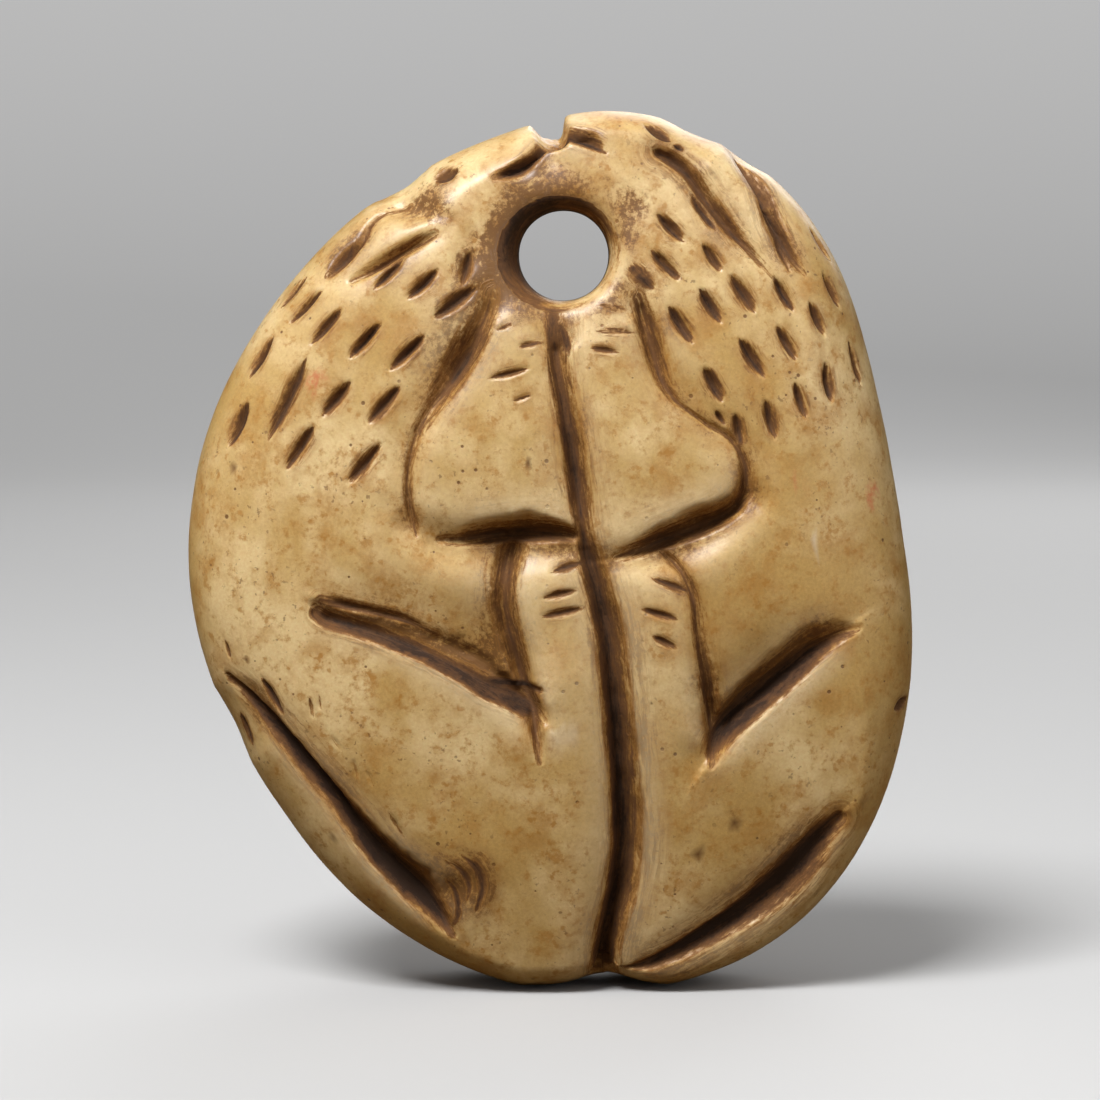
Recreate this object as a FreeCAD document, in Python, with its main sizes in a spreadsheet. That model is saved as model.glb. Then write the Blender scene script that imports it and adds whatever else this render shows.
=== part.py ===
"""Carved bone pendant: two crouching animals, nose to nose, cut from one piece of bone.

The pendant stands on the worn foot under its two rumps: X is its width, Y its depth with
the front face towards -Y, and +Z its height. The origin is the middle of its foot. Lengths
are in mm.
"""

import FreeCAD, Part

import math
import os

from FreeCAD import Rotation, Vector

# Driving dimensions: name, value in mm, what it is.
SIZES = (
    ("pendant_width", 33.0, "across the two backs"),
    ("pendant_height", 40.0, "from the rumps to the higher head"),
    ("pendant_depth", 13.0, "thickness at the middle of the two faces"),
    ("face_rise", 3.4, "how far each face is domed, over half the height"),
    ("face_wear", 0.2, "how much wear flattened the crown of each face"),
    ("rim_round", 4.6, "rounding of the rim on each side"),
    ("outline_tolerance", 0.1, "how closely arcs follow the drawn outline"),
    ("hole_radius", 2.05, "cord hole, straight part"),
    ("hole_core", 7.0, "length of the straight part"),
    ("mouth_flare", 0.55, "how much the worn mouths widen, in radius"),
    ("parting_depth", 1.15, "groove between the two animals"),
    ("parting_wall", 0.42, "its steep side, from floor to lip"),
    ("parting_bank", 0.72, "its sloping side"),
    ("limb_depth", 1.0, "cuts that free the limbs from the belly"),
    ("limb_wall", 0.36, "their steep side, at the limb"),
    ("limb_bank", 1.7, "their sloping side, across the belly"),
    ("seam_depth", 0.42, "shallow seams behind the forelegs"),
    ("seam_half_width", 0.27, "half their opening"),
    ("lens_depth", 0.95, "lens-shaped cuts under elbows and rumps"),
    ("lens_half_width", 0.62, "half their opening"),
    ("ear_depth", 0.6, "grooves beside the laid-back ears"),
    ("ear_half_width", 0.42, "half their opening"),
    ("slit_depth", 0.55, "mouth slits"),
    ("slit_half_width", 0.34, "half their opening"),
    ("tick_half_width", 0.32, "fur ticks, half across the middle"),
    ("tick_depth", 0.4, "fur ticks, at the middle"),
    ("toe_half_width", 0.19, "toe lines, half across the middle"),
    ("toe_depth", 0.24, "toe lines, at the middle"),
    ("eye_radius", 0.55, "drilled eye, at the skin"),
    ("eye_depth", 0.24, "drilled eye"),
    ("overrun", 0.8, "how far a cutter stands out of the skin"),
    ("probe_step", 0.15, "spacing of the probes that find the slope of the skin"),
)

# The photograph's pixels that the pendant's width and height span.
PHOTO_LEFT, PHOTO_RIGHT = 189.5, 910.5
PHOTO_TOP, PHOTO_FOOT = 110.5, 987.5

# Control points of the outline in the photograph's pixels, from the foot up the right side
# and round. The lowest of them run below the foot, where wear has left it flat.
OUTLINE_PX = (
    (603, 1000), (712, 982), (805, 927), (873, 845), (906, 740), (912, 640), (899, 490),
    (862, 315), (804, 195), (716, 138), (622, 100), (530, 124), (423, 162), (333, 235),
    (258, 315), (203, 440), (184, 560), (200, 665), (250, 765), (330, 885), (416, 950),
    (500, 988),
)
OUTLINE_DEGREE = 3
RIM_LIMIT_SHARE = 0.9  # the most of half the depth that the rim's rounding may take
NOTCH_REACH_SHARE = 2.5  # how far a notch's cutter runs on past its lips
HOLE_PX = (563.5, 254.0)

# Notches cut straight through the rim: left lip, floor and right lip.
NOTCHES_PX = {
    "between_the_noses": ((531, 131), (548, 149), (563, 118)),
    "behind_the_left_head": ((414, 172), (401, 192), (386, 199)),
    "behind_the_right_head": ((672, 120), (692, 139), (714, 141)),
    "haunch_on_the_rim": ((224, 712), (240, 738), (250, 764)),
}

# Cuts that follow a line on the front face. Each station is x, y in the photograph's pixels
# and the share of the full depth and width that the cut has there; a station outside the
# outline lies on the rim. Sizes: depth, width on the right of the way it runs, on the left.
PARTING = ("parting_depth", "parting_wall", "parting_bank")
LIMB = ("limb_depth", "limb_wall", "limb_bank")
SEAM = ("seam_depth", "seam_half_width", "seam_half_width")
LENS = ("lens_depth", "lens_half_width", "lens_half_width")
EAR = ("ear_depth", "ear_half_width", "ear_half_width")
SLIT = ("slit_depth", "slit_half_width", "slit_half_width")
TICK = ("tick_depth", "tick_half_width", "tick_half_width")
TOE_LINE = ("toe_depth", "toe_half_width", "toe_half_width")

STROKES_PX = {
    "parting_upper": (
        PARTING,
        ((552, 296, 0.45), (556, 340, 0.55), (562, 390, 0.6), (570, 440, 0.65), (576, 485, 0.55),
         (581, 520, 0.35)),
    ),
    "parting_lower": (
        PARTING,
        ((581, 515, 0.3), (587, 555, 0.55), (599, 605, 0.75), (610, 650, 0.85), (616, 700, 0.9),
         (620, 770, 1.0), (622, 840, 1.0), (619, 895, 0.95), (609, 940, 0.9), (603, 1010, 0.75)),
    ),
    "left_foreleg_seam": (
        SEAM,
        ((488, 306, 0.6), (476, 335, 1.4), (456, 370, 2.0), (434, 400, 1.6), (414, 438, 1.0),
         (405, 480, 0.9), (409, 512, 0.8), (413, 534, 0.3)),
    ),
    "left_elbow_cut": (
        LENS,
        ((446, 541, 0.2), (480, 533, 0.75), (517, 528, 1.0), (550, 531, 0.8), (578, 536, 0.3)),
    ),
    "left_foot_seam": (
        SEAM,
        ((508, 545, 0.8), (499, 575, 1.5), (503, 615, 1.6), (515, 655, 1.5), (528, 692, 1.3),
         (536, 730, 1.1), (541, 768, 0.3)),
    ),
    "left_thigh_cut": (
        LIMB,
        ((316, 618, 0.25), (345, 627, 0.6), (390, 641, 0.75), (430, 659, 0.8), (470, 682, 0.85),
         (505, 703, 0.8), (532, 722, 0.45)),
    ),
    "left_rump_cut": (
        LENS,
        ((226, 676, 0.3), (254, 703, 0.6), (290, 746, 0.75), (330, 796, 0.85), (368, 850, 1.0),
         (405, 886, 1.0), (432, 912, 0.7), (452, 936, 0.25)),
    ),
    "left_mouth": (SLIT, ((495, 176, 0.2), (514, 171, 0.9), (530, 158, 1.0), (541, 143, 0.6))),
    "left_ear_low": (
        EAR,
        ((432, 234, 0.35), (402, 250, 0.8), (374, 266, 0.8), (346, 281, 0.25)),
    ),
    "left_ear_high": (
        EAR,
        ((402, 201, 0.5), (381, 213, 0.7), (362, 235, 0.8), (346, 256, 0.8), (326, 276, 0.3)),
    ),
    "right_foreleg_seam": (
        SEAM,
        ((637, 298, 0.9), (648, 330, 1.5), (659, 372, 1.5), (677, 402, 1.1), (706, 422, 0.9),
         (732, 440, 0.9), (743, 466, 0.9), (746, 490, 0.9), (738, 508, 0.5)),
    ),
    "right_elbow_cut": (
        LENS,
        ((750, 498, 0.25), (724, 520, 0.7), (690, 533, 1.0), (656, 543, 0.9), (618, 558, 0.25)),
    ),
    "right_foot_seam": (
        SEAM,
        ((664, 556, 0.4), (684, 577, 0.9), (696, 606, 1.1), (703, 640, 1.3), (711, 680, 1.4),
         (717, 716, 1.4), (721, 742, 0.6)),
    ),
    "right_thigh_cut": (
        LIMB,
        ((714, 762, 0.25), (738, 731, 0.85), (768, 702, 0.9), (796, 676, 0.8), (824, 652, 0.6),
         (858, 634, 0.2)),
    ),
    "right_rump_cut": (
        LENS,
        ((838, 822, 0.4), (816, 845, 0.9), (790, 874, 1.1), (756, 906, 1.1), (714, 938, 0.9),
         (670, 962, 0.7), (626, 977, 0.25)),
    ),
    "right_mouth": (SLIT, ((560, 131, 0.6), (574, 134, 1.1), (590, 139, 1.0), (603, 148, 0.2))),
    "right_ear_low": (
        EAR,
        ((660, 148, 0.5), (679, 160, 1.0), (702, 189, 1.0), (726, 218, 1.0), (750, 246, 0.6),
         (776, 276, 0.2)),
    ),
    "right_ear_high": (
        EAR,
        ((738, 152, 0.6), (760, 181, 1.0), (775, 214, 1.1), (789, 244, 0.9), (800, 270, 0.25)),
    ),
}

# Short cuts, each from one end to the other, in the photograph's pixels.
LEFT_TICKS_PX = (
    ((305, 277), (281, 306)), ((321, 289), (289, 323)), ((272, 336), (249, 377)),
    ((341, 308), (311, 343)), ((403, 258), (374, 288)), ((438, 269), (407, 298)),
    ((475, 285), (434, 317)), ((380, 323), (349, 358)), ((424, 335), (390, 369)),
    ((305, 360), (268, 438)), ((350, 381), (322, 416)), ((399, 386), (368, 423)),
    ((246, 402), (228, 446)), ((313, 426), (286, 469)), ((380, 444), (348, 482)),
)
RIGHT_TICKS_PX = (
    ((657, 213), (684, 241)), ((652, 249), (679, 279)), ((626, 261), (654, 288)),
    ((703, 243), (721, 271)), ((731, 274), (755, 313)), ((700, 288), (721, 323)),
    ((669, 306), (692, 342)), ((774, 277), (793, 311)), ((824, 273), (840, 307)),
    ((810, 302), (825, 335)), ((740, 339), (764, 377)), ((777, 326), (796, 360)),
    ((850, 342), (862, 384)), ((704, 367), (723, 401)), ((825, 363), (832, 402)),
    ((795, 383), (806, 418)), ((765, 400), (776, 440)), ((735, 413), (743, 446)),
    ((811, 228), (831, 260)), ((692, 193), (714, 228)), ((645, 124), (672, 138)),
)
TOE_LINES_PX = (
    ((496, 330), (527, 317)), ((517, 347), (545, 340)), ((490, 378), (529, 368)),
    ((596, 303), (628, 309)), ((593, 329), (634, 332)), ((590, 347), (620, 352)),
    ((551, 573), (585, 562)), ((541, 599), (578, 590)), ((541, 617), (585, 608)),
    ((651, 580), (690, 591)), ((640, 609), (679, 620)), ((652, 636), (678, 649)),
    ((261, 678), (281, 716)),
)
EYE_PX = (446, 173)

NODE = "carved_bone_body"


def write_sizes(doc):
    """Puts the driving dimensions in a spreadsheet, one alias for each."""
    sheet = doc.addObject("Spreadsheet::Sheet", "sizes")
    for row, (alias, value, meaning) in enumerate(SIZES, start=1):
        sheet.set(f"A{row}", alias)
        sheet.set(f"B{row}", str(value))
        sheet.set(f"C{row}", meaning)
        sheet.setAlias(f"B{row}", alias)
    doc.recompute()
    return sheet


def shares_of(pixel):
    """A pixel as shares of the width, from the middle, and of the height, from the foot."""
    x, y = pixel
    across = (x - (PHOTO_LEFT + PHOTO_RIGHT) / 2) / (PHOTO_RIGHT - PHOTO_LEFT)
    return across, (PHOTO_FOOT - y) / (PHOTO_FOOT - PHOTO_TOP)


def place(sheet, pixel):
    """A pixel as a point on the plane between the two faces."""
    across, up = shares_of(pixel)
    return Vector(across * sheet.pendant_width, 0, up * sheet.pendant_height)


def draw_outline(doc, sheet):
    """The pendant's outline as a face of tangent arcs, from hand-chosen control points."""
    poles = [place(sheet, pixel) for pixel in OUTLINE_PX]
    curve = Part.BSplineCurve()
    curve.buildFromPoles(poles, True, OUTLINE_DEGREE)
    arcs = curve.toBiArcs(sheet.outline_tolerance)
    outline = doc.addObject("Part::Feature", "outline")
    outline.Shape = Part.Face(Part.Wire([arc.toShape() for arc in arcs]))
    return outline


def build_pebble(doc, sheet):
    """The uncarved pebble: an upright slab with a rounded rim and two domed faces."""
    slab = doc.addObject("Part::Extrusion", "slab")
    slab.Base = draw_outline(doc, sheet)
    slab.DirMode = "Custom"
    slab.Dir = Vector(0, 1, 0)
    slab.Solid = True
    slab.Symmetric = True
    slab.setExpression("LengthFwd", "<<sizes>>.pendant_depth")
    doc.recompute()

    rounded = doc.addObject("Part::Fillet", "rounded_rim")
    rounded.Base = slab
    quarter = sheet.pendant_depth / 4
    radius = min(sheet.rim_round, sheet.pendant_depth / 2 * RIM_LIMIT_SHARE)
    rounded.Edges = [
        (number, radius, radius) for number, edge in enumerate(slab.Shape.Edges, start=1)
        if edge.BoundBox.YMin > quarter or edge.BoundBox.YMax < -quarter
    ]
    pebble = doc.addObject("Part::MultiCommon", "pebble")
    pebble.Shapes = [rounded, add_dome(doc, "front_dome", -1), add_dome(doc, "back_dome", 1)]
    doc.recompute()
    return pebble


def add_dome(doc, name, side):
    """A ball that leaves one face domed; side is -1 for the front and 1 for the back.

    It stands out of the slab by the wear, so that the slab's own face is left as a flat crown.
    """
    half = "(<<sizes>>.pendant_height / 2)"
    rise = "<<sizes>>.face_rise"
    radius = f"(({half} ^ 2 + {rise} ^ 2) / (2 * {rise}))"
    ball = doc.addObject("Part::Sphere", name)
    ball.setExpression("Radius", radius)
    crown = "<<sizes>>.pendant_depth / 2 + <<sizes>>.face_wear"
    ball.setExpression("Placement.Base.y", f"{side} * ({crown} - {radius})")
    ball.setExpression("Placement.Base.z", half)
    return ball


def add_cord_hole(doc):
    """The cord hole's cutter: a straight core and a worn, widening mouth at each end."""
    across, up = shares_of(HOLE_PX)
    core = doc.addObject("Part::Cylinder", "hole_core_cut")
    core.setExpression("Radius", "<<sizes>>.hole_radius")
    core.setExpression("Height", "<<sizes>>.hole_core")
    core.setExpression("Placement.Base.y", "-<<sizes>>.hole_core / 2")
    core.Placement.Rotation = Rotation(Vector(1, 0, 0), -90)
    pieces = [core]
    for name, side in (("front_mouth", -1), ("back_mouth", 1)):
        mouth = doc.addObject("Part::Cone", name)
        mouth.setExpression("Radius1", "<<sizes>>.hole_radius")
        mouth.setExpression("Radius2", "<<sizes>>.hole_radius + <<sizes>>.mouth_flare")
        mouth.setExpression("Height", "(<<sizes>>.pendant_depth - <<sizes>>.hole_core) / 2")
        mouth.setExpression("Placement.Base.y", f"{side} * <<sizes>>.hole_core / 2")
        mouth.Placement.Rotation = Rotation(Vector(1, 0, 0), -90 * side)
        pieces.append(mouth)
    for piece in pieces:
        piece.setExpression("Placement.Base.x", f"<<sizes>>.pendant_width * {across:.5f}")
        piece.setExpression("Placement.Base.z", f"<<sizes>>.pendant_height * {up:.5f}")
    hole = doc.addObject("Part::MultiFuse", "cord_hole")
    hole.Shapes = pieces
    return hole


def add_notch(doc, sheet, name, lips_and_floor):
    """A notch filed across the rim, from face to face."""
    left, floor, right = (place(sheet, pixel) for pixel in lips_and_floor)
    corners = [floor + (lip - floor) * NOTCH_REACH_SHARE for lip in (left, right)]
    profile = doc.addObject("Part::Feature", f"{name}_profile")
    profile.Shape = Part.Face(Part.makePolygon([floor, *corners, floor]))
    notch = doc.addObject("Part::Extrusion", name)
    notch.Base = profile
    notch.DirMode = "Custom"
    notch.Dir = Vector(0, 1, 0)
    notch.Solid = True
    notch.Symmetric = True
    notch.setExpression("LengthFwd", "<<sizes>>.pendant_depth + 2 * <<sizes>>.overrun")
    return notch


class Skin:
    """The front skin of the uncarved pendant, for laying cuts on it."""

    def __init__(self, solid, sheet):
        self.solid = solid
        self.sheet = sheet

    def spot(self, pixel):
        """The skin's point at a pixel, its outward normal, and whether it is on the rim.

        A pixel past the outline gives the nearest point halfway between the two faces.
        """
        middle = place(self.sheet, pixel)
        front = middle - Vector(0, self.sheet.pendant_depth, 0)
        inside = self.solid.common(Part.makeLine(front, middle))
        on_rim = not inside.Edges
        if on_rim:
            probe = middle
        else:
            probe = Vector(middle.x, inside.BoundBox.YMin - self.sheet.probe_step, middle.z)
        foot = self.solid.distToShape(Part.Vertex(probe))[1][0][0]
        return foot, (probe - foot).normalize(), on_rim


def section(sheet, foot, normal, right, share, size_names):
    """One V section of a cut, standing out of the skin by the overrun."""
    depth, right_width, left_width = (getattr(sheet, name) for name in size_names)
    floor = foot - normal * (depth * share)
    top = foot + normal * sheet.overrun
    rise = (depth * share + sheet.overrun) / depth
    right_lip = top + right * (right_width * rise)
    left_lip = top - right * (left_width * rise)
    return Part.makePolygon([floor, right_lip, left_lip, floor])


def stroke_shape(skin, size_names, stations):
    """A cut that follows a line: V sections lofted from station to station."""
    spots = [skin.spot((x, y)) for x, y, _ in stations]
    feet = [foot for foot, _, _ in spots]
    sections = []
    for number, (foot, normal, on_rim) in enumerate(spots):
        way = feet[min(number + 1, len(feet) - 1)] - feet[max(number - 1, 0)]
        if on_rim:
            way = Vector(0, math.copysign(1, way.y), 0)
        right = way.cross(normal).normalize()
        share = stations[number][2]
        sections.append(section(skin.sheet, foot, normal, right, share, size_names))
    return Part.makeLoft(sections, True, True)


def tick_shape(skin, ends, size_names):
    """A short cut: a lozenge on the skin, deepest in the middle."""
    sheet = skin.sheet
    start, finish = (place(sheet, pixel) for pixel in ends)
    foot, normal, _ = skin.spot([(low + high) / 2 for low, high in zip(*ends)])
    span = finish - start
    half = (span - normal * span.dot(normal)) * 0.5
    right = half.cross(normal).normalize()
    return Part.makeLoft([
        section(sheet, foot + half * along, normal, right, 1 - abs(along), size_names)
        for along in (-1, 0, 1)
    ], True, True)


def eye_shape(skin):
    """A ball that leaves a shallow drilled eye."""
    radius, depth = skin.sheet.eye_radius, skin.sheet.eye_depth
    ball = (radius ** 2 + depth ** 2) / (2 * depth)
    foot, normal, _ = skin.spot(EYE_PX)
    return Part.makeSphere(ball, foot + normal * (ball - depth))


def add_cutters(doc, name, shapes):
    """One set of cutters from several shapes, which may cross each other."""
    cutters = []
    for piece_name, shape in shapes.items():
        cutter = doc.addObject("Part::Feature", piece_name)
        cutter.Shape = shape
        cutters.append(cutter)
    cutter_set = doc.addObject("Part::Compound", name)
    cutter_set.Links = cutters
    return cutter_set


def add_main_cuts(doc, skin):
    """The cuts that shape the animals, on both faces: the back mirrors the front."""
    shapes = {name: stroke_shape(skin, *stroke) for name, stroke in STROKES_PX.items()}
    shapes["left_eye"] = eye_shape(skin)
    front = add_cutters(doc, "front_cuts", shapes)
    back = doc.addObject("Part::Mirroring", "back_cuts")
    back.Source = front
    back.Base = Vector(0, 0, 0)
    back.Normal = Vector(0, 1, 0)
    return front, back


def add_fine_cuts(doc, skin):
    """The fur ticks and toe lines, on the front only."""
    return add_cutters(doc, "fine_cuts", {
        name: Part.makeCompound([tick_shape(skin, ends, size_names) for ends in ends_list])
        for name, ends_list, size_names in (
            ("left_ticks", LEFT_TICKS_PX, TICK),
            ("right_ticks", RIGHT_TICKS_PX, TICK),
            ("toe_lines", TOE_LINES_PX, TOE_LINE),
        )
    })


def cut_from(doc, name, base, tool):
    """The base with the tool taken out of it."""
    cut = doc.addObject("Part::Cut", name)
    cut.Base = base
    cut.Tool = tool
    return cut


def flatten_foot(doc, carved):
    """The carved pendant with its foot worn flat: what lies in a roomy box on the foot's plane."""
    room = doc.addObject("Part::Box", "room_above_foot")
    room.setExpression("Length", "2 * <<sizes>>.pendant_width")
    room.setExpression("Width", "2 * <<sizes>>.pendant_depth")
    room.setExpression("Height", "2 * <<sizes>>.pendant_height")
    room.setExpression("Placement.Base.x", "-<<sizes>>.pendant_width")
    room.setExpression("Placement.Base.y", "-<<sizes>>.pendant_depth")
    flattened = doc.addObject("Part::Common", "pendant_solid")
    flattened.Base = carved
    flattened.Tool = room
    return flattened


def check(doc, node):
    """Stops before anything is written if an object failed or the node isn't one sound solid."""
    failed = [item.Name for item in doc.Objects if {"Invalid", "Error"} & set(item.State)]
    if failed:
        raise RuntimeError(f"not built: {', '.join(failed)}")
    shape = node.Shape
    if shape.isNull() or not shape.isValid() or len(shape.Solids) != 1:
        raise RuntimeError(f"{node.Label} isn't one sound solid")


def main():
    doc = FreeCAD.newDocument("pendant")
    sheet = write_sizes(doc)
    pebble = build_pebble(doc, sheet)
    skin = Skin(pebble.Shape, sheet)
    front, back = add_main_cuts(doc, skin)
    fine = add_fine_cuts(doc, skin)
    through = doc.addObject("Part::Compound", "through_cuts")
    through.Links = [
        add_cord_hole(doc),
        *(add_notch(doc, sheet, name, pixels) for name, pixels in NOTCHES_PX.items()),
    ]
    front_done = cut_from(doc, "front_carved", pebble, front)
    both_done = cut_from(doc, "both_faces_carved", front_done, back)
    fine_done = cut_from(doc, "fine_cuts_done", both_done, fine)
    carved = cut_from(doc, "through_cuts_done", fine_done, through)
    pendant = flatten_foot(doc, carved)
    pendant.Label = NODE
    doc.recompute()
    check(doc, pendant)
    os.makedirs("parts", exist_ok=True)
    pendant.Shape.exportStep(f"parts/{NODE}.step")


main()
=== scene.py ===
"""The looks of the carved bone pendant: a rounded blank, drilled and carved.

The blank is the hull of the CAD solid, rounded off into a pebble. Cuts and hollows are drawn in
the photograph's pixels, laid on the blank by rays from the camera and carved along its normals;
the back takes the mirror image of the front, a little shallower. Lengths are millimetres until
the finished piece is scaled to metres.
"""

import math

import bpy
import numpy as np
from mathutils import Matrix, Vector
from mathutils.bvhtree import BVHTree
from mathutils.kdtree import KDTree


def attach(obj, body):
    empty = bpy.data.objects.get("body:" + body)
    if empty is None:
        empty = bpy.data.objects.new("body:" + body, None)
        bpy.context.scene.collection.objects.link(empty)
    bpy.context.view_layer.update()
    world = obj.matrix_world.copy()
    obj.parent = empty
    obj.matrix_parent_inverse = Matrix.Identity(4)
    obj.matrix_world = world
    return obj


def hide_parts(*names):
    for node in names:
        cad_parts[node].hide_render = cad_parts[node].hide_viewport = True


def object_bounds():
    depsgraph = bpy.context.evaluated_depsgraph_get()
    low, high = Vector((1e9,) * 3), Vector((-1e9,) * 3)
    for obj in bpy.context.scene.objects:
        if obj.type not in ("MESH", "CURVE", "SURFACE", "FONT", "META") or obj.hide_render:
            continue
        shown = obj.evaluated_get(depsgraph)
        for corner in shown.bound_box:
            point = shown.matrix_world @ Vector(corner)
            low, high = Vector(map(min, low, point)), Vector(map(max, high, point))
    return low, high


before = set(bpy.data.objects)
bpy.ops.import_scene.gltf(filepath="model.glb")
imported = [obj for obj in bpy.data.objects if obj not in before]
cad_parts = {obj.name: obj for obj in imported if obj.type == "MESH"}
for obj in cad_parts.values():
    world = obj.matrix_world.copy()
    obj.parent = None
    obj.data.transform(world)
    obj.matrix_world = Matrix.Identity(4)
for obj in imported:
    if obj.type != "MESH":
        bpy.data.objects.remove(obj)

bl_info = {
    "name": "Carved bone pendant",
    "version": (1, 0, 0),
    "blender": (4, 5, 0),
    "location": "View3D > Sidebar > Pendant",
    "description": "Carves a polished bone pendant from its solid and sets it on a plain stage",
    "category": "Object",
}

CAD_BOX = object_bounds()
NODE = "carved_bone_body"
MM = 0.001

# The camera that took the photograph, as judged from it: lengths in mm, angles in degrees.
PHOTO_PX = 1100
LENS = 120.0
SENSOR = 36.0
ELEVATION = 4.5
DISTANCE = 168.0
AIM = Vector((0.0, 0.0, 19.96))

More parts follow.
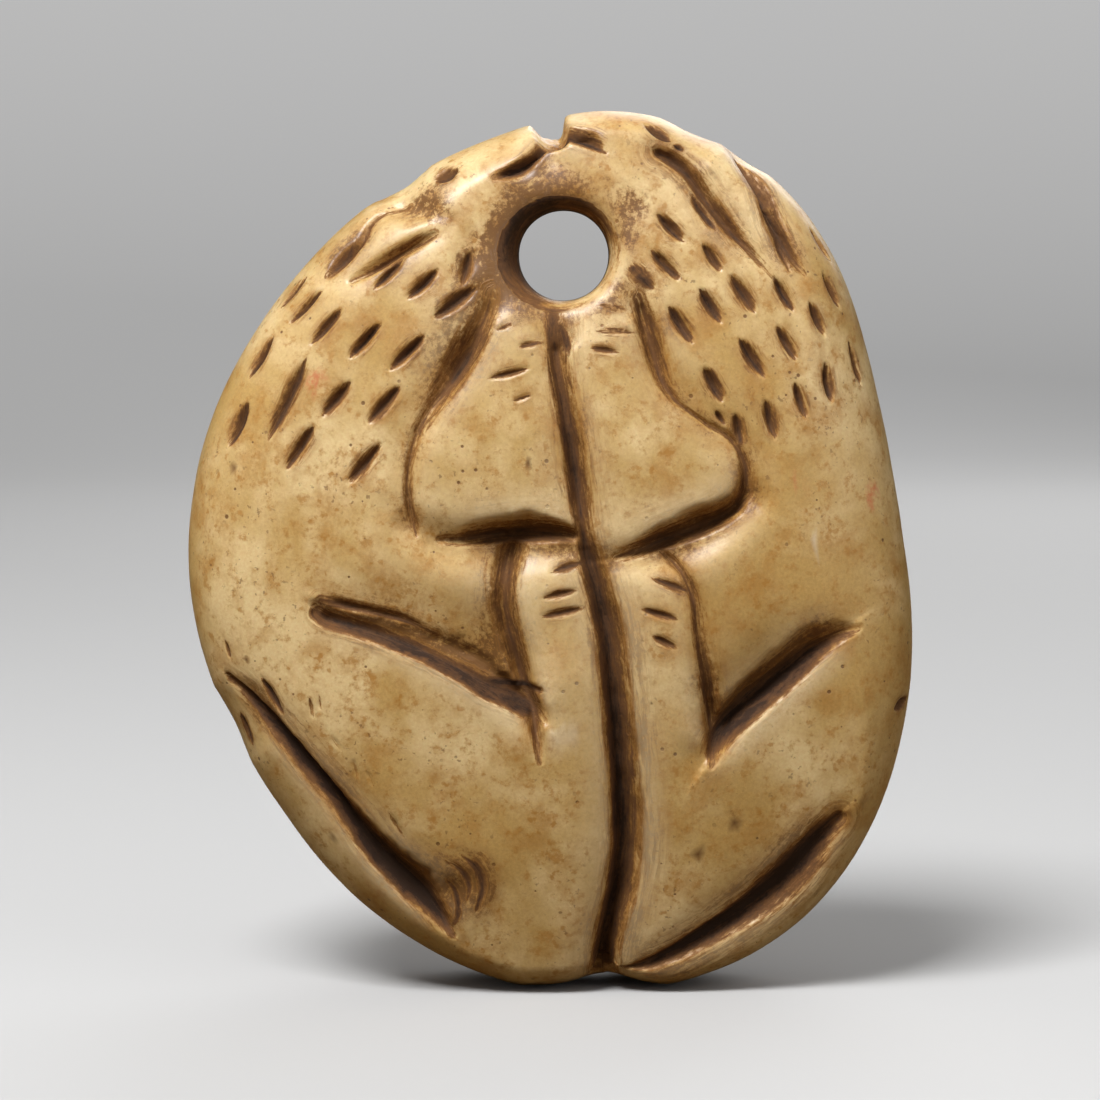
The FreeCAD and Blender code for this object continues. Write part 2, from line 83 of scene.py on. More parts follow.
# Each cut's stations run along its deepest line: x and y in the photograph's pixels, half widths
# in pixels on the right and on the left hand of someone who follows it over the face, depth in mm.
# After the name: how dark its patina is, how far the brown halo reaches in mm, and its floor,
# from 0.1 for a sharp V to 0.9 for a wide round gouge.
CUTS_PX = {
    "parting": (0.98, 0.8, 0.5, (
        (551, 300, 7, 10, 0.35), (554, 325, 9, 12, 0.55), (557, 362, 9, 12, 0.50),
        (563, 400, 9, 12, 0.55), (570, 440, 9, 13, 0.70), (575, 475, 10, 13, 0.75),
        (579, 505, 9, 12, 0.60), (582, 528, 8, 10, 0.50), (586, 548, 9, 11, 0.60),
        (592, 572, 10, 14, 0.75), (600, 602, 11, 15, 0.85), (608, 640, 12, 16, 0.95),
        (613, 680, 12, 16, 1.00), (617, 720, 12, 16, 1.05), (620, 760, 12, 18, 1.10),
        (623, 805, 12, 20, 1.15), (624, 850, 13, 20, 1.15), (619, 890, 13, 18, 1.10),
        (612, 921, 13, 15, 1.05), (606, 950, 13, 14, 1.00), (604, 972, 13, 13, 1.15),
        (603, 992, 14, 14, 1.20))),
    "left_foreleg": (0.44, 1.1, 0.6, (
        (492, 292, 10, 8, 0.20), (484, 318, 14, 10, 0.38), (472, 342, 18, 14, 0.62),
        (458, 366, 19, 14, 0.75), (444, 388, 14, 11, 0.55), (427, 412, 8, 8, 0.34),
        (415, 434, 5, 6, 0.28), (408, 462, 4, 5, 0.32), (406, 490, 4, 5, 0.36),
        (409, 514, 4, 5, 0.34), (414, 534, 3, 4, 0.12))),
    "left_elbow": (0.58, 0.9, 0.35, (
        (440, 541, 4, 4, 0.15), (470, 539, 8, 13, 0.60), (497, 536, 10, 20, 1.05),
        (522, 534, 11, 24, 1.20), (545, 533, 11, 18, 1.00), (562, 534, 9, 12, 0.70),
        (580, 537, 6, 6, 0.30))),
    "left_foot": (0.48, 1.0, 0.5, (
        (512, 548, 14, 14, 0.50), (506, 572, 16, 13, 0.65), (505, 600, 15, 12, 0.60),
        (510, 630, 13, 11, 0.60), (517, 660, 12, 10, 0.65), (524, 690, 10, 9, 0.75),
        (531, 712, 9, 9, 0.85), (536, 738, 6, 7, 0.65), (540, 762, 3, 3, 0.10))),
    "left_thigh": (0.95, 0.7, 0.25, (
        (318, 614, 8, 16, 0.35), (326, 620, 7, 18, 0.60), (345, 626, 7, 18, 0.66),
        (374, 636, 7, 22, 0.70), (405, 648, 7, 26, 0.72), (436, 662, 7, 30, 0.78),
        (464, 677, 8, 30, 0.85), (490, 692, 9, 26, 0.95), (512, 703, 9, 20, 0.90),
        (532, 714, 8, 14, 0.60), (541, 722, 4, 6, 0.15))),
    "left_rump": (1.25, 0.8, 0.4, (
        (228, 680, 5, 8, 0.25), (248, 701, 7, 11, 0.50), (276, 733, 8, 13, 0.60),
        (302, 765, 9, 14, 0.70), (328, 796, 9, 14, 0.72), (352, 828, 10, 17, 0.80),
        (376, 858, 11, 24, 0.95), (400, 882, 12, 28, 1.05), (422, 902, 12, 20, 0.85),
        (440, 922, 8, 11, 0.50), (452, 936, 4, 5, 0.12))),
    "left_mouth": (1.1, 0.4, 0.35, (
        (496, 176, 4, 4, 0.12), (510, 171, 8, 6, 0.46), (522, 165, 9, 8, 0.58),
        (532, 156, 8, 8, 0.60), (541, 142, 8, 7, 0.50))),
    "right_mouth": (1.0, 0.5, 0.5, (
        (560, 130, 7, 8, 0.45), (574, 134, 10, 12, 0.56), (588, 140, 9, 12, 0.52),
        (597, 146, 6, 8, 0.32), (604, 151, 2, 3, 0.08))),
    "left_ear_low": (0.4, 0.9, 0.4, (
        (432, 235, 5, 4, 0.15), (416, 243, 8, 6, 0.40), (396, 253, 9, 7, 0.48),
        (374, 266, 8, 7, 0.40), (352, 279, 5, 5, 0.12))),
    "left_ear_high": (0.52, 0.9, 0.5, (
        (402, 198, 5, 5, 0.12), (384, 208, 4, 4, 0.15), (368, 222, 5, 4, 0.20),
        (358, 240, 9, 8, 0.42), (344, 256, 10, 9, 0.46), (330, 272, 6, 5, 0.18))),
    "right_foreleg": (0.5, 1.0, 0.5, (
        (638, 297, 8, 9, 0.35), (645, 318, 10, 11, 0.50), (652, 340, 11, 11, 0.56),
        (658, 362, 10, 10, 0.50), (665, 383, 7, 7, 0.38), (676, 400, 4, 5, 0.24),
        (691, 412, 3, 4, 0.20), (708, 424, 3, 5, 0.20), (726, 434, 3, 6, 0.22),
        (739, 448, 4, 7, 0.26), (746, 468, 6, 8, 0.36), (747, 488, 7, 8, 0.46),
        (741, 505, 8, 7, 0.48))),
    "right_elbow": (0.6, 0.9, 0.35, (
        (749, 494, 8, 6, 0.42), (738, 508, 14, 8, 0.72), (722, 519, 18, 9, 0.98),
        (700, 528, 20, 10, 1.15), (676, 537, 18, 10, 1.10), (652, 546, 13, 9, 0.80),
        (632, 553, 9, 7, 0.42), (618, 558, 5, 4, 0.12))),
    "right_foot": (0.44, 1.0, 0.35, (
        (662, 553, 4, 5, 0.20), (676, 565, 5, 7, 0.34), (687, 582, 5, 8, 0.34),
        (696, 606, 5, 8, 0.32), (700, 636, 6, 10, 0.38), (705, 668, 6, 11, 0.48),
        (711, 700, 7, 11, 0.62), (716, 728, 7, 10, 0.72), (717, 752, 5, 6, 0.35))),
    "right_thigh": (1.05, 0.7, 0.3, (
        (712, 765, 4, 4, 0.20), (718, 748, 9, 12, 0.75), (731, 731, 11, 18, 1.00),
        (750, 713, 11, 26, 1.10), (772, 695, 10, 30, 1.10), (796, 673, 10, 30, 0.95),
        (820, 652, 8, 26, 0.70), (842, 637, 6, 18, 0.35), (858, 630, 3, 8, 0.10))),
    "right_rump": (1.45, 0.9, 0.9, (
        (838, 820, 8, 9, 0.22), (822, 837, 14, 15, 0.36), (802, 861, 18, 20, 0.48),
        (778, 887, 19, 20, 0.56), (750, 910, 16, 17, 0.60), (718, 931, 13, 14, 0.56),
        (686, 949, 10, 11, 0.48), (655, 964, 7, 8, 0.34), (628, 975, 5, 5, 0.16))),
    "right_ear_low": (0.8, 0.8, 0.5, (
        (662, 151, 9, 8, 0.40), (674, 157, 10, 9, 0.52), (689, 171, 8, 8, 0.46),
        (705, 193, 8, 8, 0.46), (720, 213, 9, 8, 0.48), (733, 230, 8, 7, 0.40),
        (750, 250, 4, 5, 0.20), (772, 276, 3, 3, 0.06))),
    "right_ear_high": (0.95, 0.6, 0.45, (
        (742, 157, 7, 6, 0.30), (757, 175, 10, 9, 0.46), (768, 195, 11, 10, 0.55),
        (776, 220, 11, 10, 0.55), (785, 243, 10, 9, 0.46), (796, 261, 6, 6, 0.25),
        (804, 272, 3, 3, 0.08))),
    "right_ear_branch": (0.8, 0.5, 0.4, (
        (776, 222, 5, 5, 0.35), (781, 245, 6, 6, 0.42), (789, 268, 3, 3, 0.12))),
    "left_thigh_scratch": (0.6, 0.3, 0.6, (
        (322, 602, 6, 7, 0.15), (345, 607, 6, 7, 0.30), (372, 613, 5, 6, 0.28),
        (404, 622, 4, 6, 0.20), (434, 636, 3, 5, 0.10))),
    "scrape_outer": (1.0, 0.6, 0.5, (
        (462, 856, 2, 3, 0.02), (476, 868, 4, 5, 0.06), (482, 888, 5, 5, 0.07),
        (477, 909, 3, 4, 0.03))),
    "scrape_middle": (0.7, 0.5, 0.5, (
        (444, 861, 2, 3, 0.02), (461, 871, 4, 5, 0.05), (469, 888, 3, 4, 0.05),
        (467, 900, 2, 3, 0.02))),
    "scrape_inner": (0.85, 0.6, 0.5, (
        (446, 882, 2, 3, 0.02), (455, 895, 5, 3, 0.05), (458, 915, 5, 3, 0.04),
        (451, 930, 2, 2, 0.01))),
    "left_belly_score": (1.3, 0.3, 0.4, (
        (478, 682, 4, 4, 0.12), (500, 688, 7, 6, 0.36), (520, 690, 6, 6, 0.40),
        (538, 692, 4, 4, 0.20))),
    "left_belly_score_low": (1.2, 0.3, 0.4, (
        (490, 699, 4, 4, 0.12), (506, 704, 6, 6, 0.36), (522, 707, 5, 5, 0.30))),
}

# Fur ticks, both eyes, creases and nicks: short cuts from one end to the other, in the
# photograph's pixels, and their half width. The toe lines are told in the same way.
TICKS_PX = (
    (350, 242, 327, 272, 6), (305, 277, 280, 307, 5), (321, 289, 289, 323, 5),
    (272, 336, 249, 377, 5.5), (341, 308, 311, 343, 5.5), (403, 258, 374, 288, 5.5),
    (438, 269, 407, 298, 6), (476, 285, 434, 317, 8), (380, 323, 349, 358, 6),
    (424, 335, 390, 369, 6.5), (305, 360, 268, 438, 8), (350, 381, 322, 416, 6.5),
    (399, 386, 368, 423, 7), (247, 402, 228, 446, 8), (313, 426, 286, 469, 7),
    (380, 444, 348, 483, 7), (657, 213, 684, 241, 7), (652, 249, 679, 279, 7),
    (626, 261, 654, 288, 8), (703, 243, 721, 271, 6), (692, 193, 716, 230, 6),
    (731, 274, 755, 313, 7.5), (700, 288, 721, 323, 7.5), (669, 306, 692, 342, 7.5),
    (774, 277, 793, 311, 6), (824, 273, 840, 307, 6), (810, 302, 825, 335, 5.5),
    (740, 339, 764, 377, 7.5), (777, 326, 796, 360, 6), (850, 342, 862, 384, 5),
    (704, 367, 723, 401, 7), (826, 363, 832, 402, 6.5), (795, 383, 806, 418, 6),
    (765, 400, 776, 440, 6.5), (736, 413, 743, 446, 5.5), (811, 228, 831, 260, 5),
    (716, 410, 726, 424, 4), (261, 678, 282, 716, 5), (235, 712, 251, 748, 6),
    (434, 181, 458, 167, 11), (645, 124, 672, 138, 8), (559, 318, 569, 352, 6),
    (469, 250, 461, 284, 7), (675, 141, 685, 148, 4.5), (472, 342, 447, 386, 9),
    (352, 758, 358, 783, 2.2), (309, 697, 313, 719, 2.4), (318, 694, 321, 714, 2.0),
    (387, 812, 405, 840, 2.0), (330, 735, 342, 752, 1.8), (224, 640, 230, 660, 2.6),
    (365, 768, 374, 790, 1.8), (500, 700, 512, 715, 2.0), (908, 698, 895, 710, 6),
)
TICK_DEPTH = 0.38
TICK_DARK = 0.92
TICK_HALO = 0.32
TOES_PX = (
    (496, 330, 527, 317, 3), (517, 347, 545, 340, 3.5), (490, 378, 529, 368, 3.5),
    (511, 402, 533, 394, 2), (596, 303, 628, 309, 3.5), (593, 329, 634, 332, 3.5),
    (590, 347, 620, 352, 3.5), (551, 573, 585, 562, 4), (541, 599, 578, 590, 4),
    (541, 617, 585, 608, 4), (651, 578, 690, 593, 4.5), (640, 609, 679, 620, 4.5),
    (652, 636, 678, 649, 4),
)
TOE_DEPTH = 0.2
TOE_DARK = 0.8
TOE_HALO = 0.28
SHORT_FLOOR = 0.35

# A cut's lips are rounded; its stain is fullest on the deepest line, and reaches at most this
# many times the other bank's width.
LIP_ROUNDING = 0.12
FULL_STAIN = 1.12
CORE_SHARE = 1.25

# How deep the back face is carved, as a share of the front.
BACK_SHARE = 0.85

# Broad soft hollows that round off the limbs between them: x, y, half width in pixels on the
# right and left hand, depth in mm.
HOLLOWS_PX = (
    ((552, 300, 22, 26, 0.14), (563, 400, 30, 34, 0.20), (579, 505, 34, 36, 0.22),
     (598, 602, 30, 36, 0.30), (616, 720, 32, 44, 0.36), (620, 850, 34, 46, 0.38),
     (611, 921, 36, 44, 0.42), (604, 990, 40, 44, 0.50)),
    ((488, 300, 24, 18, 0.25), (460, 355, 38, 24, 0.40), (425, 410, 34, 22, 0.36),
     (404, 460, 26, 20, 0.30), (406, 520, 20, 20, 0.20)),
    ((392, 512, 20, 20, 0.12), (430, 540, 28, 28, 0.50), (500, 550, 30, 26, 0.72),
     (560, 550, 24, 20, 0.48)),
    ((345, 604, 14, 34, 0.18), (400, 622, 16, 52, 0.40), (450, 644, 18, 64, 0.62),
     (488, 664, 18, 60, 0.78), (512, 690, 14, 44, 0.72), (536, 716, 10, 20, 0.24)),
    ((505, 552, 34, 18, 0.40), (500, 610, 40, 18, 0.36), (512, 660, 34, 18, 0.34),
     (530, 712, 24, 16, 0.26)),
    ((640, 300, 18, 20, 0.26), (660, 370, 20, 26, 0.32), (700, 415, 22, 30, 0.26),
     (742, 450, 22, 30, 0.22), (752, 490, 22, 26, 0.20)),
    ((618, 562, 16, 24, 0.28), (665, 556, 22, 28, 0.56), (712, 536, 22, 28, 0.56),
     (748, 504, 22, 24, 0.34)),
    ((715, 752, 10, 34, 0.36), (738, 718, 12, 52, 0.72), (770, 690, 12, 60, 0.70),
     (806, 660, 12, 54, 0.50), (850, 628, 8, 28, 0.10)),
    ((672, 562, 20, 24, 0.22), (697, 610, 20, 32, 0.26), (708, 670, 20, 36, 0.30),
     (716, 730, 16, 26, 0.30)),
    ((236, 690, 12, 26, 0.10), (302, 765, 14, 40, 0.22), (376, 858, 18, 48, 0.34),
     (420, 902, 18, 46, 0.30), (456, 940, 12, 20, 0.08)),
    ((836, 822, 26, 14, 0.14), (778, 886, 36, 18, 0.28), (700, 940, 34, 16, 0.24),
     (626, 976, 20, 12, 0.10)),
    ((432, 234, 14, 16, 0.14), (380, 262, 16, 18, 0.14), (330, 286, 14, 16, 0.06)),
    ((402, 198, 14, 20, 0.20), (368, 226, 16, 18, 0.18), (326, 274, 14, 14, 0.08)),
    ((398, 200, 14, 12, 0.16), (424, 208, 16, 14, 0.26), (448, 218, 12, 10, 0.08)),
    ((664, 148, 20, 20, 0.22), (706, 194, 24, 24, 0.24), (754, 250, 18, 18, 0.10)),
    ((742, 156, 16, 18, 0.20), (772, 206, 20, 22, 0.24), (800, 268, 14, 14, 0.08)),
    ((546, 152, 24, 22, 0.30), (552, 176, 34, 32, 0.30), (556, 204, 44, 44, 0.24)),
    ((520, 220, 40, 40, 0.30), (508, 250, 40, 40, 0.40), (520, 285, 34, 34, 0.34),
     (560, 312, 26, 26, 0.22), (606, 300, 22, 22, 0.14)),
    ((468, 244, 18, 18, 0.14), (462, 276, 18, 18, 0.18), (480, 306, 18, 18, 0.12)),
    ((626, 196, 14, 14, 0.10), (632, 212, 16, 16, 0.20), (626, 240, 14, 14, 0.12)),
    ((432, 884, 20, 20, 0.12), (450, 892, 26, 26, 0.22), (466, 886, 18, 18, 0.10)),
)

# Notches worn over the rim from face to face: pixel, half width in pixels, depth in mm.
RIM_NOTCHES_PX = (
    (543, 121, 13, 0.80), (549, 121, 13, 0.98), (555, 121, 12, 1.00), (400, 184, 36, 0.28),
    (692, 132, 34, 0.14), (748, 160, 30, 0.10), (236, 724, 44, 0.20),
)

# Where brown soil has settled, with painted shade in the same hollows: x, y and radius in pixels,
# strength.
SOIL_AND_SHADE_PX = (
    (478, 300, 34, 0.7), (458, 352, 36, 0.8), (436, 398, 26, 0.5), (412, 452, 18, 0.35),
    (408, 512, 16, 0.35), (520, 548, 34, 0.55), (500, 585, 26, 0.6), (504, 640, 30, 0.7),
    (478, 664, 30, 0.6), (430, 640, 30, 0.45), (380, 615, 30, 0.45), (330, 605, 18, 0.5),
    (560, 545, 18, 0.4), (655, 330, 20, 0.5), (672, 398, 18, 0.35), (742, 460, 20, 0.4),
    (735, 500, 26, 0.5), (688, 540, 30, 0.5), (690, 590, 16, 0.35), (705, 680, 22, 0.5),
    (735, 715, 22, 0.35), (775, 680, 26, 0.3), (822, 635, 26, 0.4), (822, 612, 20, 0.2),
    (500, 240, 26, 1.1), (520, 290, 20, 1.0), (478, 262, 18, 0.9), (552, 180, 30, 0.8),
    (602, 180, 20, 0.35), (632, 205, 18, 1.1), (628, 235, 14, 0.8), (618, 290, 14, 0.7),
    (604, 310, 12, 0.5), (514, 205, 20, 0.8), (425, 196, 20, 1.0), (346, 246, 20, 0.7),
    (500, 285, 16, 0.8),
    (570, 300, 16, 0.4), (440, 208, 22, 0.6), (412, 202, 16, 0.5), (360, 236, 16, 0.5),
    (400, 262, 22, 0.4), (332, 262, 14, 0.5), (690, 176, 18, 0.4), (720, 226, 20, 0.4),
    (770, 190, 20, 0.5), (786, 246, 22, 0.5), (600, 560, 26, 0.45), (612, 640, 28, 0.5),
    (626, 740, 28, 0.55), (636, 840, 28, 0.55), (622, 930, 26, 0.5), (575, 420, 20, 0.35),
    (454, 886, 32, 1.1), (400, 870, 30, 0.7), (330, 788, 22, 0.4), (262, 712, 22, 0.4),
    (212, 690, 20, 0.4), (790, 850, 30, 0.4), (735, 905, 30, 0.35), (540, 965, 40, 0.25),
    (680, 975, 40, 0.3), (735, 812, 10, 0.5), (237, 640, 12, 0.35), (280, 655, 12, 0.3),
    (470, 500, 22, 0.25), (640, 500, 24, 0.3), (752, 395, 18, 0.35), (700, 420, 22, 0.3),
)

# Small marks on the front face: x, y and radius in pixels, and what kind of mark.
MARKS_PX = (
    (864, 802, 6, "smudge"), (813, 545, 5, "chip"), (874, 491, 7, "smear"),
    (869, 503, 7, "smear"), (799, 482, 5, "smear"), (315, 380, 9, "smear"), (568, 736, 12, "scuff"),
    (556, 738, 9, "scuff"), (233, 466, 2.5, "nick"), (530, 462, 2, "nick"), (494, 435, 2, "nick"),
    (804, 488, 2, "nick"), (739, 805, 3, "nick"), (728, 813, 2.5, "nick"),
    (745, 815, 3, "nick"), (736, 821, 2.5, "nick"), (750, 824, 2.5, "nick"),
    (722, 820, 2, "nick"), (733, 799, 2.5, "nick"), (690, 868, 3, "nick"), (699, 855, 2, "nick"),
    (265, 728, 2.5, "nick"), (331, 838, 2.5, "nick"), (245, 660, 3, "nick"),
)

# How brown, how pale and how red each kind of small mark is.
MARK_KINDS = {
    "nick": (1, 0, 0), "smudge": (0.35, 0, 0), "chip": (0, 1, 0), "scuff": (0, 0.2, 0),
    "smear": (0, 0, 1),
}

# The pebble's rounding: a superellipse from the rim to the middle of each face, in mm.
BLANK_VOXEL = 0.25
ROUND_REACH = 16.0
ROUND_HALF = 6.45
ROUND_POWER = 3.0
ROUND_LIMIT = 2.5

# The cord hole: the round that one sees through, and where its front mouth has worn to.
HOLE_PX = (563.7, 255.8)
HOLE_RADIUS_PX = 45.5
MOUTH_PX = (556.5, 247.0)
LIP_MELT = 2.2
MOUTH_RADIUS = 2.6
BACK_MOUTH_RADIUS = 2.55
CORE_HALF = 3.0
MOUTH_DEPTH = 5.6
DRILL_OVERRUN = 2.4
DRILL_FLARE = 0.9
MELT_RADIUS = 4.2
MELT_DEPTH = 2.6

# Pale ridges and dark hollows compare the carved depth averaged over a short and over a long reach,
# in mm: the ridges are rubbed pale and carry painted highlights, the hollows hold soil and painted
# shade.
SHORT_REACH = 0.3
LONG_REACH = 0.75

# The floor, in metres: a square that ends at FLOOR_END behind the pendant and bends up there.
FLOOR_SIZE = 3.0
FLOOR_END = 1.0
BACKDROP_HEIGHT = 1.6
BACKDROP_BEND = 0.6

# The lamps: name, place and size in metres.
LAMPS = (
    ("key", (-0.11, -0.19, 0.33), 0.15), ("fill", (0.26, -0.20, 0.16), 0.30),
    ("back", (0.12, 0.32, 0.26), 0.30),
)


def photo_ray(x, y):
    """The camera's place and the way it looks through one of the photograph's pixels, in mm."""
    tilt = math.radians(ELEVATION)
    ahead = Vector((0, math.cos(tilt), -math.sin(tilt)))
    up = Vector((0, math.sin(tilt), math.cos(tilt)))
    right = Vector((1, 0, 0))
    focal = LENS / SENSOR * PHOTO_PX
    way = ahead * focal + right * (x - PHOTO_PX / 2) - up * (y - PHOTO_PX / 2)
    return AIM - ahead * DISTANCE, way.normalized()


def point_at_depth(x, y, depth):
    """The point seen at a pixel on the upright plane y = depth, in mm."""
    eye, way = photo_ray(x, y)
    return eye + way * ((depth - eye.y) / way.y)


def smooth_step(low, high, value):
    """0 below low, 1 above high and a smooth rise between them."""
    share = np.clip((value - low) / (high - low), 0, 1)
    return share * share * (3 - 2 * share)


def resample(stations, step):
    """A smooth line through stations, as rows about a step of pixels apart."""
    rows = np.array(stations, float)
    rows = np.vstack([2 * rows[0] - rows[1], rows, 2 * rows[-1] - rows[-2]])
    result = []
    for before, start, end, after in zip(rows, rows[1:], rows[2:], rows[3:]):
        count = max(2, round(float(np.hypot(*(end - start)[:2])) / step))
        share = np.linspace(0, 1, count, endpoint=False)[:, None]
        result.append(0.5 * (
            2 * start + (end - before) * share
            + (2 * before - 5 * start + 4 * end - after) * share ** 2
            + (3 * start - before - 3 * end + after) * share ** 3))
    return np.vstack([*result, rows[-2]])


class Skin:
    """The uncarved blank's skin, for laying lines on it."""

    def __init__(self, mesh):
        points = [vertex.co.copy() for vertex in mesh.vertices]
        self.tree = BVHTree.FromPolygons(points, [face.vertices[:] for face in mesh.polygons])

    def spot(self, x, y):
        """The skin's point and normal at a pixel; past the outline, the nearest on the rim."""
        eye, way = photo_ray(x, y)
        point, normal, _, _ = self.tree.ray_cast(eye, way)
        if point is None:
            point, normal, _, _ = self.tree.find_nearest(point_at_depth(x, y, 0))
        return point, normal

    def around_rim(self, x, y):
        """Points and normals from the front face over the rim to the back face at a pixel."""
        middle, outward = self.spot(x, y)
        found = []
        for depth in np.linspace(-6, 6, 61):
            probe = middle + outward * 2
            probe.y = depth
            found.append(self.tree.find_nearest(probe)[:2])
        return found


class Line:
    """A line on the skin with the width on each hand, and the depth, at each of its points."""

    def __init__(self, points, normals, right, left, depth):
        self.points = np.array(points, float)
        self.normals = np.array(normals, float)
        self.right = np.maximum(right, 0.02)
        self.left = np.maximum(left, 0.02)
        self.depth = np.maximum(depth, 0)
        way = np.gradient(self.points, axis=0)
        length = np.linalg.norm(way, axis=1, keepdims=True)
        self.way = way / np.maximum(length, 1e-9)
        self.travelled = np.concatenate([[0], np.cumsum(length[1:, 0])])
        self.step = float(length.mean())

    def mirrored(self, share):
        """The same line on the back face, cut to a share of its depth."""
        flip = np.array((1, -1, 1))
        return Line(self.points * flip, self.normals * flip, self.left, self.right,
                    self.depth * share)


def line_of(skin, stations, step=3.0):
    """A line from stations of x, y, right and left half width in pixels and depth in mm."""
    rows = resample(stations, step)
    spots = [skin.spot(x, y) for x, y in rows[:, :2]]
    scale = pixel_size()
    return Line([point for point, _ in spots], [normal for _, normal in spots],
                rows[:, 2] * scale, rows[:, 3] * scale, rows[:, 4])


def pixel_size():
    """A pixel's width in mm on the front face."""
    return (DISTANCE - 6) / (LENS / SENSOR * PHOTO_PX)


def tick_stations(x0, y0, x1, y1, half_width, depth):
    """Stations of a short leaf-shaped cut with pointed ends."""
    rows = []
    for share in np.linspace(-1.12, 1.12, 9):
        full = max(0.0, 1 - abs(share / 1.12) ** 1.9) ** 0.9
        rows.append((x0 + (x1 - x0) * (share + 1) / 2, y0 + (y1 - y0) * (share + 1) / 2,
                     half_width * full, half_width * full, depth * full))
    return rows


class Carving:
    """What has been carved so far at each vertex of the blank."""

    def __init__(self, points, normals):
        self.points = points
        self.normals = normals
        count = len(points)
        self.hollow = np.zeros(count)
        self.cut = np.zeros(count)
        self.patina = np.full(count, -3.0)
        self.halo = np.zeros(count)
        self.streak = np.zeros((count, 3))
        self.soil_and_shade = np.zeros(count)
        self.marks = np.zeros((count, 3))

    def gap_to(self, skin, x, y, side):
        """How far each vertex is from the spot at a pixel, or from its twin on the back."""
        spot = np.array(skin.spot(x, y)[0]) * (1, side, 1)
        return np.linalg.norm(self.points - spot, axis=1)

    def near(self, line, reach):
        """Vertices within reach of a line, with the place on it that each is nearest to."""
        low = line.points.min(0) - reach
        high = line.points.max(0) + reach
        inside = np.all((self.points > low) & (self.points < high), axis=1)
        index = np.flatnonzero(inside)
        place = np.empty(len(index), int)
        for start in range(0, len(index), 20000):
            block = self.points[index[start:start + 20000]]
            gap = (np.sum(line.points ** 2, axis=1)[None] - 2 * block @ line.points.T)
            place[start:start + 20000] = gap.argmin(axis=1)
        facing = np.sum(self.normals[index] * line.normals[place], axis=1)
        keep = facing > 0.05
        index, place, facing = index[keep], place[keep], facing[keep]
        offset = self.points[index] - line.points[place]
        along = np.clip(np.sum(offset * line.way[place], axis=1), -line.step / 2, line.step / 2)
        offset -= along[:, None] * line.way[place]
        across = np.linalg.norm(offset, axis=1)
        hand = np.sum(offset * np.cross(line.way[place], self.normals[index]), axis=1)
        keep = across < reach
        return (index[keep], place[keep], along[keep], across[keep], hand[keep],
                smooth_step(0.05, 0.45, facing[keep]))

    def carve_hollow(self, line):
        """A soft trough or dish, added to what is there."""
        reach = float(max(line.right.max(), line.left.max())) * 1.9
        index, place, _, across, hand, facing = self.near(line, reach)
        width = np.where(hand > 0, line.right[place], line.left[place])
        form = np.exp(-(across / width) ** 2 * 1.6)
        self.hollow[index] += line.depth[place] * form * facing

    def carve_cut(self, line, dark, halo, floor, seed):
        """A cut with steep sides, which is as deep as the deepest cut that passes there."""
        widest = float(max(line.right.max(), line.left.max()))
        index, place, along, across, hand, facing = self.near(line, widest + 4 * halo)
        spots = self.points[index]
        width = np.where(hand > 0, line.right[place], line.left[place])
        other = np.where(hand > 0, line.left[place], line.right[place])
        uneven = 0.13 * unevenness(spots, seed, 2.2) + 0.08 * unevenness(spots, seed + 0.5, 0.7)
        share = across / (width * (1 + uneven))
        form = 1 - (np.sqrt(share ** 2 + floor ** 2) - floor) / (math.sqrt(1 + floor ** 2) - floor)
        rounded = (form + np.sqrt(form ** 2 + LIP_ROUNDING ** 2)) / 2
        rounded = np.where(form < -1.2, 0, rounded)
        depth = line.depth[place] * (1 + 0.1 * unevenness(spots, seed + 0.25, 1.8))
        self.cut[index] = np.maximum(self.cut[index], depth * rounded * facing)
        if not dark:
            return
        deepest = max(float(line.depth.max()), 0.05)
        strength = dark * np.clip((line.depth[place] / deepest) ** 0.8 * 1.25, 0, 1)
        core = np.minimum(width, CORE_SHARE * other)
        stained = FULL_STAIN - across / (core * (1 + uneven))
        steep = 1 + 1.6 * np.clip(other / width - 1.1, 0, 1)
        filled = np.minimum(stained * steep, FULL_STAIN) * strength
        patina = np.where(stained > 0, filled, stained) - (1 - facing) * 2
        first = patina > self.patina[index]
        self.patina[index] = np.where(first, patina, self.patina[index])
        seeds = np.full(len(index), float(seed))
        streak = np.column_stack([line.travelled[place] + along, np.copysign(across, hand), seeds])
        self.streak[index] = np.where(first[:, None], streak, self.streak[index])
        outside = np.maximum(across - core, 0)
        fade = halo * np.clip(width / other, 0.7, 1.5)
        glow = np.exp(-(outside / fade) ** 2) * np.minimum(strength, 1) * facing
        self.halo[index] = np.maximum(self.halo[index], glow)


def select_only(piece):
    """Deselects everything else and makes the piece active."""
    bpy.ops.object.select_all(action="DESELECT")
    piece.select_set(True)
    bpy.context.view_layer.objects.active = piece


def apply_modifier(piece, kind, **settings):
    """Adds a modifier to the piece and applies it."""
    select_only(piece)
    modifier = piece.modifiers.new(kind.lower(), kind)
    for name, value in settings.items():
        setattr(modifier, name, value)
    bpy.ops.object.modifier_apply(modifier=modifier.name)


def make_blank():
    """The hull of the CAD solid, in mm: the pebble before it is carved."""
    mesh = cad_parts[NODE].data.copy()
    mesh.materials.clear()
    mesh.transform(Matrix.Scale(1 / MM, 4))
    blank = bpy.data.objects.new("carved_bone", mesh)
    bpy.context.scene.collection.objects.link(blank)
    select_only(blank)
    bpy.ops.object.mode_set(mode="EDIT")
    bpy.ops.mesh.select_all(action="SELECT")
    bpy.ops.mesh.remove_doubles(threshold=0.002)
    bpy.ops.mesh.convex_hull(use_existing_faces=False)
    bpy.ops.mesh.normals_make_consistent(inside=False)
    bpy.ops.object.mode_set(mode="OBJECT")
    return blank


